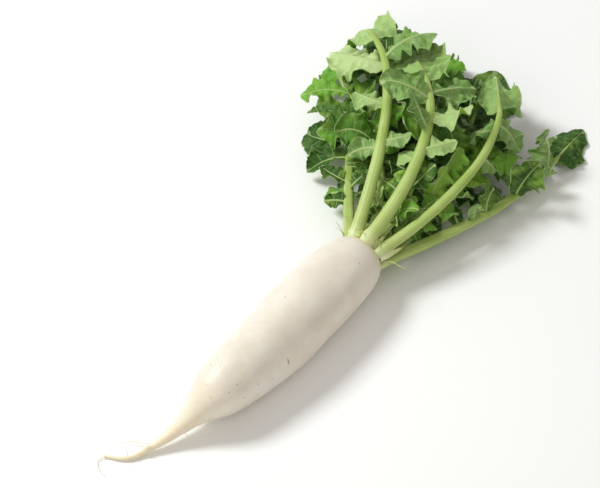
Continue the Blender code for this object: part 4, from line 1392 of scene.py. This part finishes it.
draw = random.Random(REMNANT_SEED)
crown_remnants = {
    "crown_scales": (
        [scale_path(draw, k) for k in range(SCALES)],
        {"Sides": 18, "Ribs": 6.0, "Rib Height": 0.10, "Groove Depth": 0.35, "Flatness": 0.20},
        withered_finish("crown_scale", "EEF0CC", "D3DC98", "B59A58"),
    ),
    "crown_stubs": (
        [stub_path(draw, degrees) for degrees in STUB_PLACES],
        {"Sides": 20, "Ribs": 7.0, "Rib Height": 0.12, "Groove Depth": 0.3, "Flatness": 0.7},
        withered_finish("crown_stub", "C9D488", "A3BC5C", "A08A4C"),
    ),
    "crown_threads": (
        [thread_path(draw) for _ in range(THREADS)],
        {"Sides": 6, **ROUND_SECTION},
        withered_finish("crown_thread", "DFE6B0", "C2CF7C", "B7A25E"),
    ),
}
for name, (paths, sizes, finish) in crown_remnants.items():
    remnant = swept(name, paths, {**sizes, "Groove Angle": math.radians(90), "Finish": finish})
    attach(remnant, "root")
    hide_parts("root")

# --- rootlets -----------------------------------------------------------------------------------------
# Hair-thin side roots that were not washed off, most of them near the tail, and the thread in which the
# tail ends.

TAIL_THREAD = [  # x, y, z
    (-0.2035, 0.0262, 0.0016),
    (-0.2090, 0.0296, 0.0012),
    (-0.2137, 0.0283, 0.0010),
    (-0.2185, 0.0210, 0.0009),
    (-0.2197, 0.0125, 0.0008),
]
LONG_ROOTLET = [
    (-0.1690, 0.0040, 0.0060),
    (-0.1740, 0.0120, 0.0046),
    (-0.1772, 0.0227, 0.0012),
    (-0.1840, 0.0280, 0.0009),
    (-0.1889, 0.0321, 0.0008),
]
ROOTLETS = 12
ROOTLET_SPAN = (-0.196, -0.098)
ROOTLET_LENGTH = (0.005, 0.016)
ROOTLET_RADIUS = 0.00020
ROOTLET_STEPS = 22
ROOTLET_CURL = 2.4
ROOTLET_SIDES = 7
ROOTED_AT = 0.85  # how far out from the root's middle they start, as a share of its radius
TAIL_THREAD_RADIUS = 0.00034
LONG_ROOTLET_RADIUS = 0.00024
LONG_STEPS = 40
ROOTLET_SEED = 17


def tapered(line, radius):
    """Rows of x, y, z, radius, turn along a line that thins to its end."""
    thick = radius * np.linspace(1, 0.3, len(line))
    return np.column_stack([line, thick, 0 * thick])


def rootlet_path(draw, stations):
    """A short hair that leaves the root sideways and hangs towards the ground."""
    x = draw.uniform(*ROOTLET_SPAN)
    nearest = stations[np.argmin(np.abs(stations[:, 0] - x))]
    side = draw.choice((-1, 1))
    outward = unit(np.array([-0.3, side, draw.uniform(-0.3, 0.5)]))
    start = nearest[:3] + outward * nearest[3] * ROOTED_AT
    length = draw.uniform(*ROOTLET_LENGTH)
    line = curled_path(draw, start, outward, length, ROOTLET_STEPS, ROOTLET_CURL)
    return tapered(line, ROOTLET_RADIUS * draw.uniform(0.6, 1.2))


def rootlet_finish():
    """Dry cream to tan, like fine string."""
    material, tree, shader = finish_called("rootlet", 0.6, 0.3)
    cloud = noise(tree, own_place(tree), 0.003, 2.0, 0.5)
    colour = mixed(tree, soft_range(tree, cloud, 0.35, 0.7), linear("E0D2A6"), linear("C4AC78"))
    tree.links.new(colour, shader.inputs["Base Color"])
    return material


draw = random.Random(ROOTLET_SEED)
stations = smooth_line(ROOT_STATIONS, ROOT_RINGS)
hairs = [rootlet_path(draw, stations) for _ in range(ROOTLETS)]
hairs.append(tapered(smooth_line(TAIL_THREAD, LONG_STEPS), TAIL_THREAD_RADIUS))
hairs.append(tapered(smooth_line(LONG_ROOTLET, LONG_STEPS), LONG_ROOTLET_RADIUS))
sizes = {"Sides": ROOTLET_SIDES, **ROUND_SECTION, "Finish": rootlet_finish()}
rootlets = swept("rootlets", hairs, sizes)
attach(rootlets, "root")
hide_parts("root")

# --- table, light and camera --------------------------------------------------------------------------
# A plain pale table that it lies on. Daylight falls from a large soft source above and behind, a weak
# warm light fills from the front left, and a long lens looks down at it.

TABLE_SIZE = 14.0
TABLE_BELOW = 0.0001  # how far the table's face is under the object
LIT_PLACE = (0.05, 0.02, 0.0)  # what both lights point at
ROOM_COLOUR = (1.0, 0.965, 0.925, 1.0)
ROOM_STRENGTH = 0.47
CAMERA_TURN = math.radians(-47)
CAMERA_RISE = math.radians(50)
CAMERA_AWAY = 12.0
LOOKS_AT = (0.0724, 0.0675, 0.0)
VIEW_WIDTH = 0.4998  # what the camera takes in at the place it looks at
SENSOR = 36.0  # millimetres
SEES_TO = 40.0


def table_finish():
    """A matt, almost white board."""
    material, tree, shader = finish_called("table", 0.6, 0.2)
    cloud = noise(tree, own_place(tree), 0.4, 2.0, 0.5)
    colour = mixed(tree, soft_range(tree, cloud, 0.3, 0.7), linear("F7F7F6"), linear("FAFAF9"))
    tree.links.new(colour, shader.inputs["Base Color"])
    return material


half_table = TABLE_SIZE / 2
table_mesh = bpy.data.meshes.new("table")
signs = ((-1, -1), (1, -1), (1, 1), (-1, 1))
corners = [(x * half_table, y * half_table, -TABLE_BELOW) for x, y in signs]
table_mesh.from_pydata(corners, [], [(0, 1, 2, 3)])
table_mesh.materials.append(table_finish())
table = placed("table", table_mesh)


def area_light(name, place, size, power, tint):
    """A soft round light, by its size in metres and its power in watts."""
    lamp = bpy.data.lights.new(name, "AREA")
    lamp.shape = "DISK"
    lamp.size = size
    lamp.energy = power
    lamp.color = tint
    holder = bpy.data.objects.new(name, lamp)
    bpy.context.scene.collection.objects.link(holder)
    holder.location = place
    heading = Vector(LIT_PLACE) - Vector(place)
    holder.rotation_euler = heading.to_track_quat("-Z", "Y").to_euler()


area_light("daylight", (-0.35, 1.35, 1.75), size=0.75, power=37.5, tint=(0.955, 0.995, 1.0))
area_light("fill", (-1.5, -0.6, 1.2), size=1.4, power=6.0, tint=(1.0, 0.95, 0.89))

world = bpy.data.worlds.new("room")
bpy.context.scene.world = world
world.use_nodes = True
background = world.node_tree.nodes["Background"]
background.inputs["Color"].default_value = ROOM_COLOUR
background.inputs["Strength"].default_value = ROOM_STRENGTH
bpy.context.scene.view_settings.view_transform = "Standard"

back = Vector(
    (
        math.sin(CAMERA_TURN) * math.cos(CAMERA_RISE),
        -math.cos(CAMERA_TURN) * math.cos(CAMERA_RISE),
        math.sin(CAMERA_RISE),
    )
)
lens = bpy.data.cameras.new("camera")
lens.sensor_width = SENSOR
lens.lens = SENSOR * CAMERA_AWAY / VIEW_WIDTH
lens.clip_end = SEES_TO
camera = bpy.data.objects.new("camera", lens)
bpy.context.scene.collection.objects.link(camera)
camera.location = Vector(LOOKS_AT) + back * CAMERA_AWAY
camera.rotation_euler = (-back).to_track_quat("-Z", "Y").to_euler()
bpy.context.scene.camera = camera
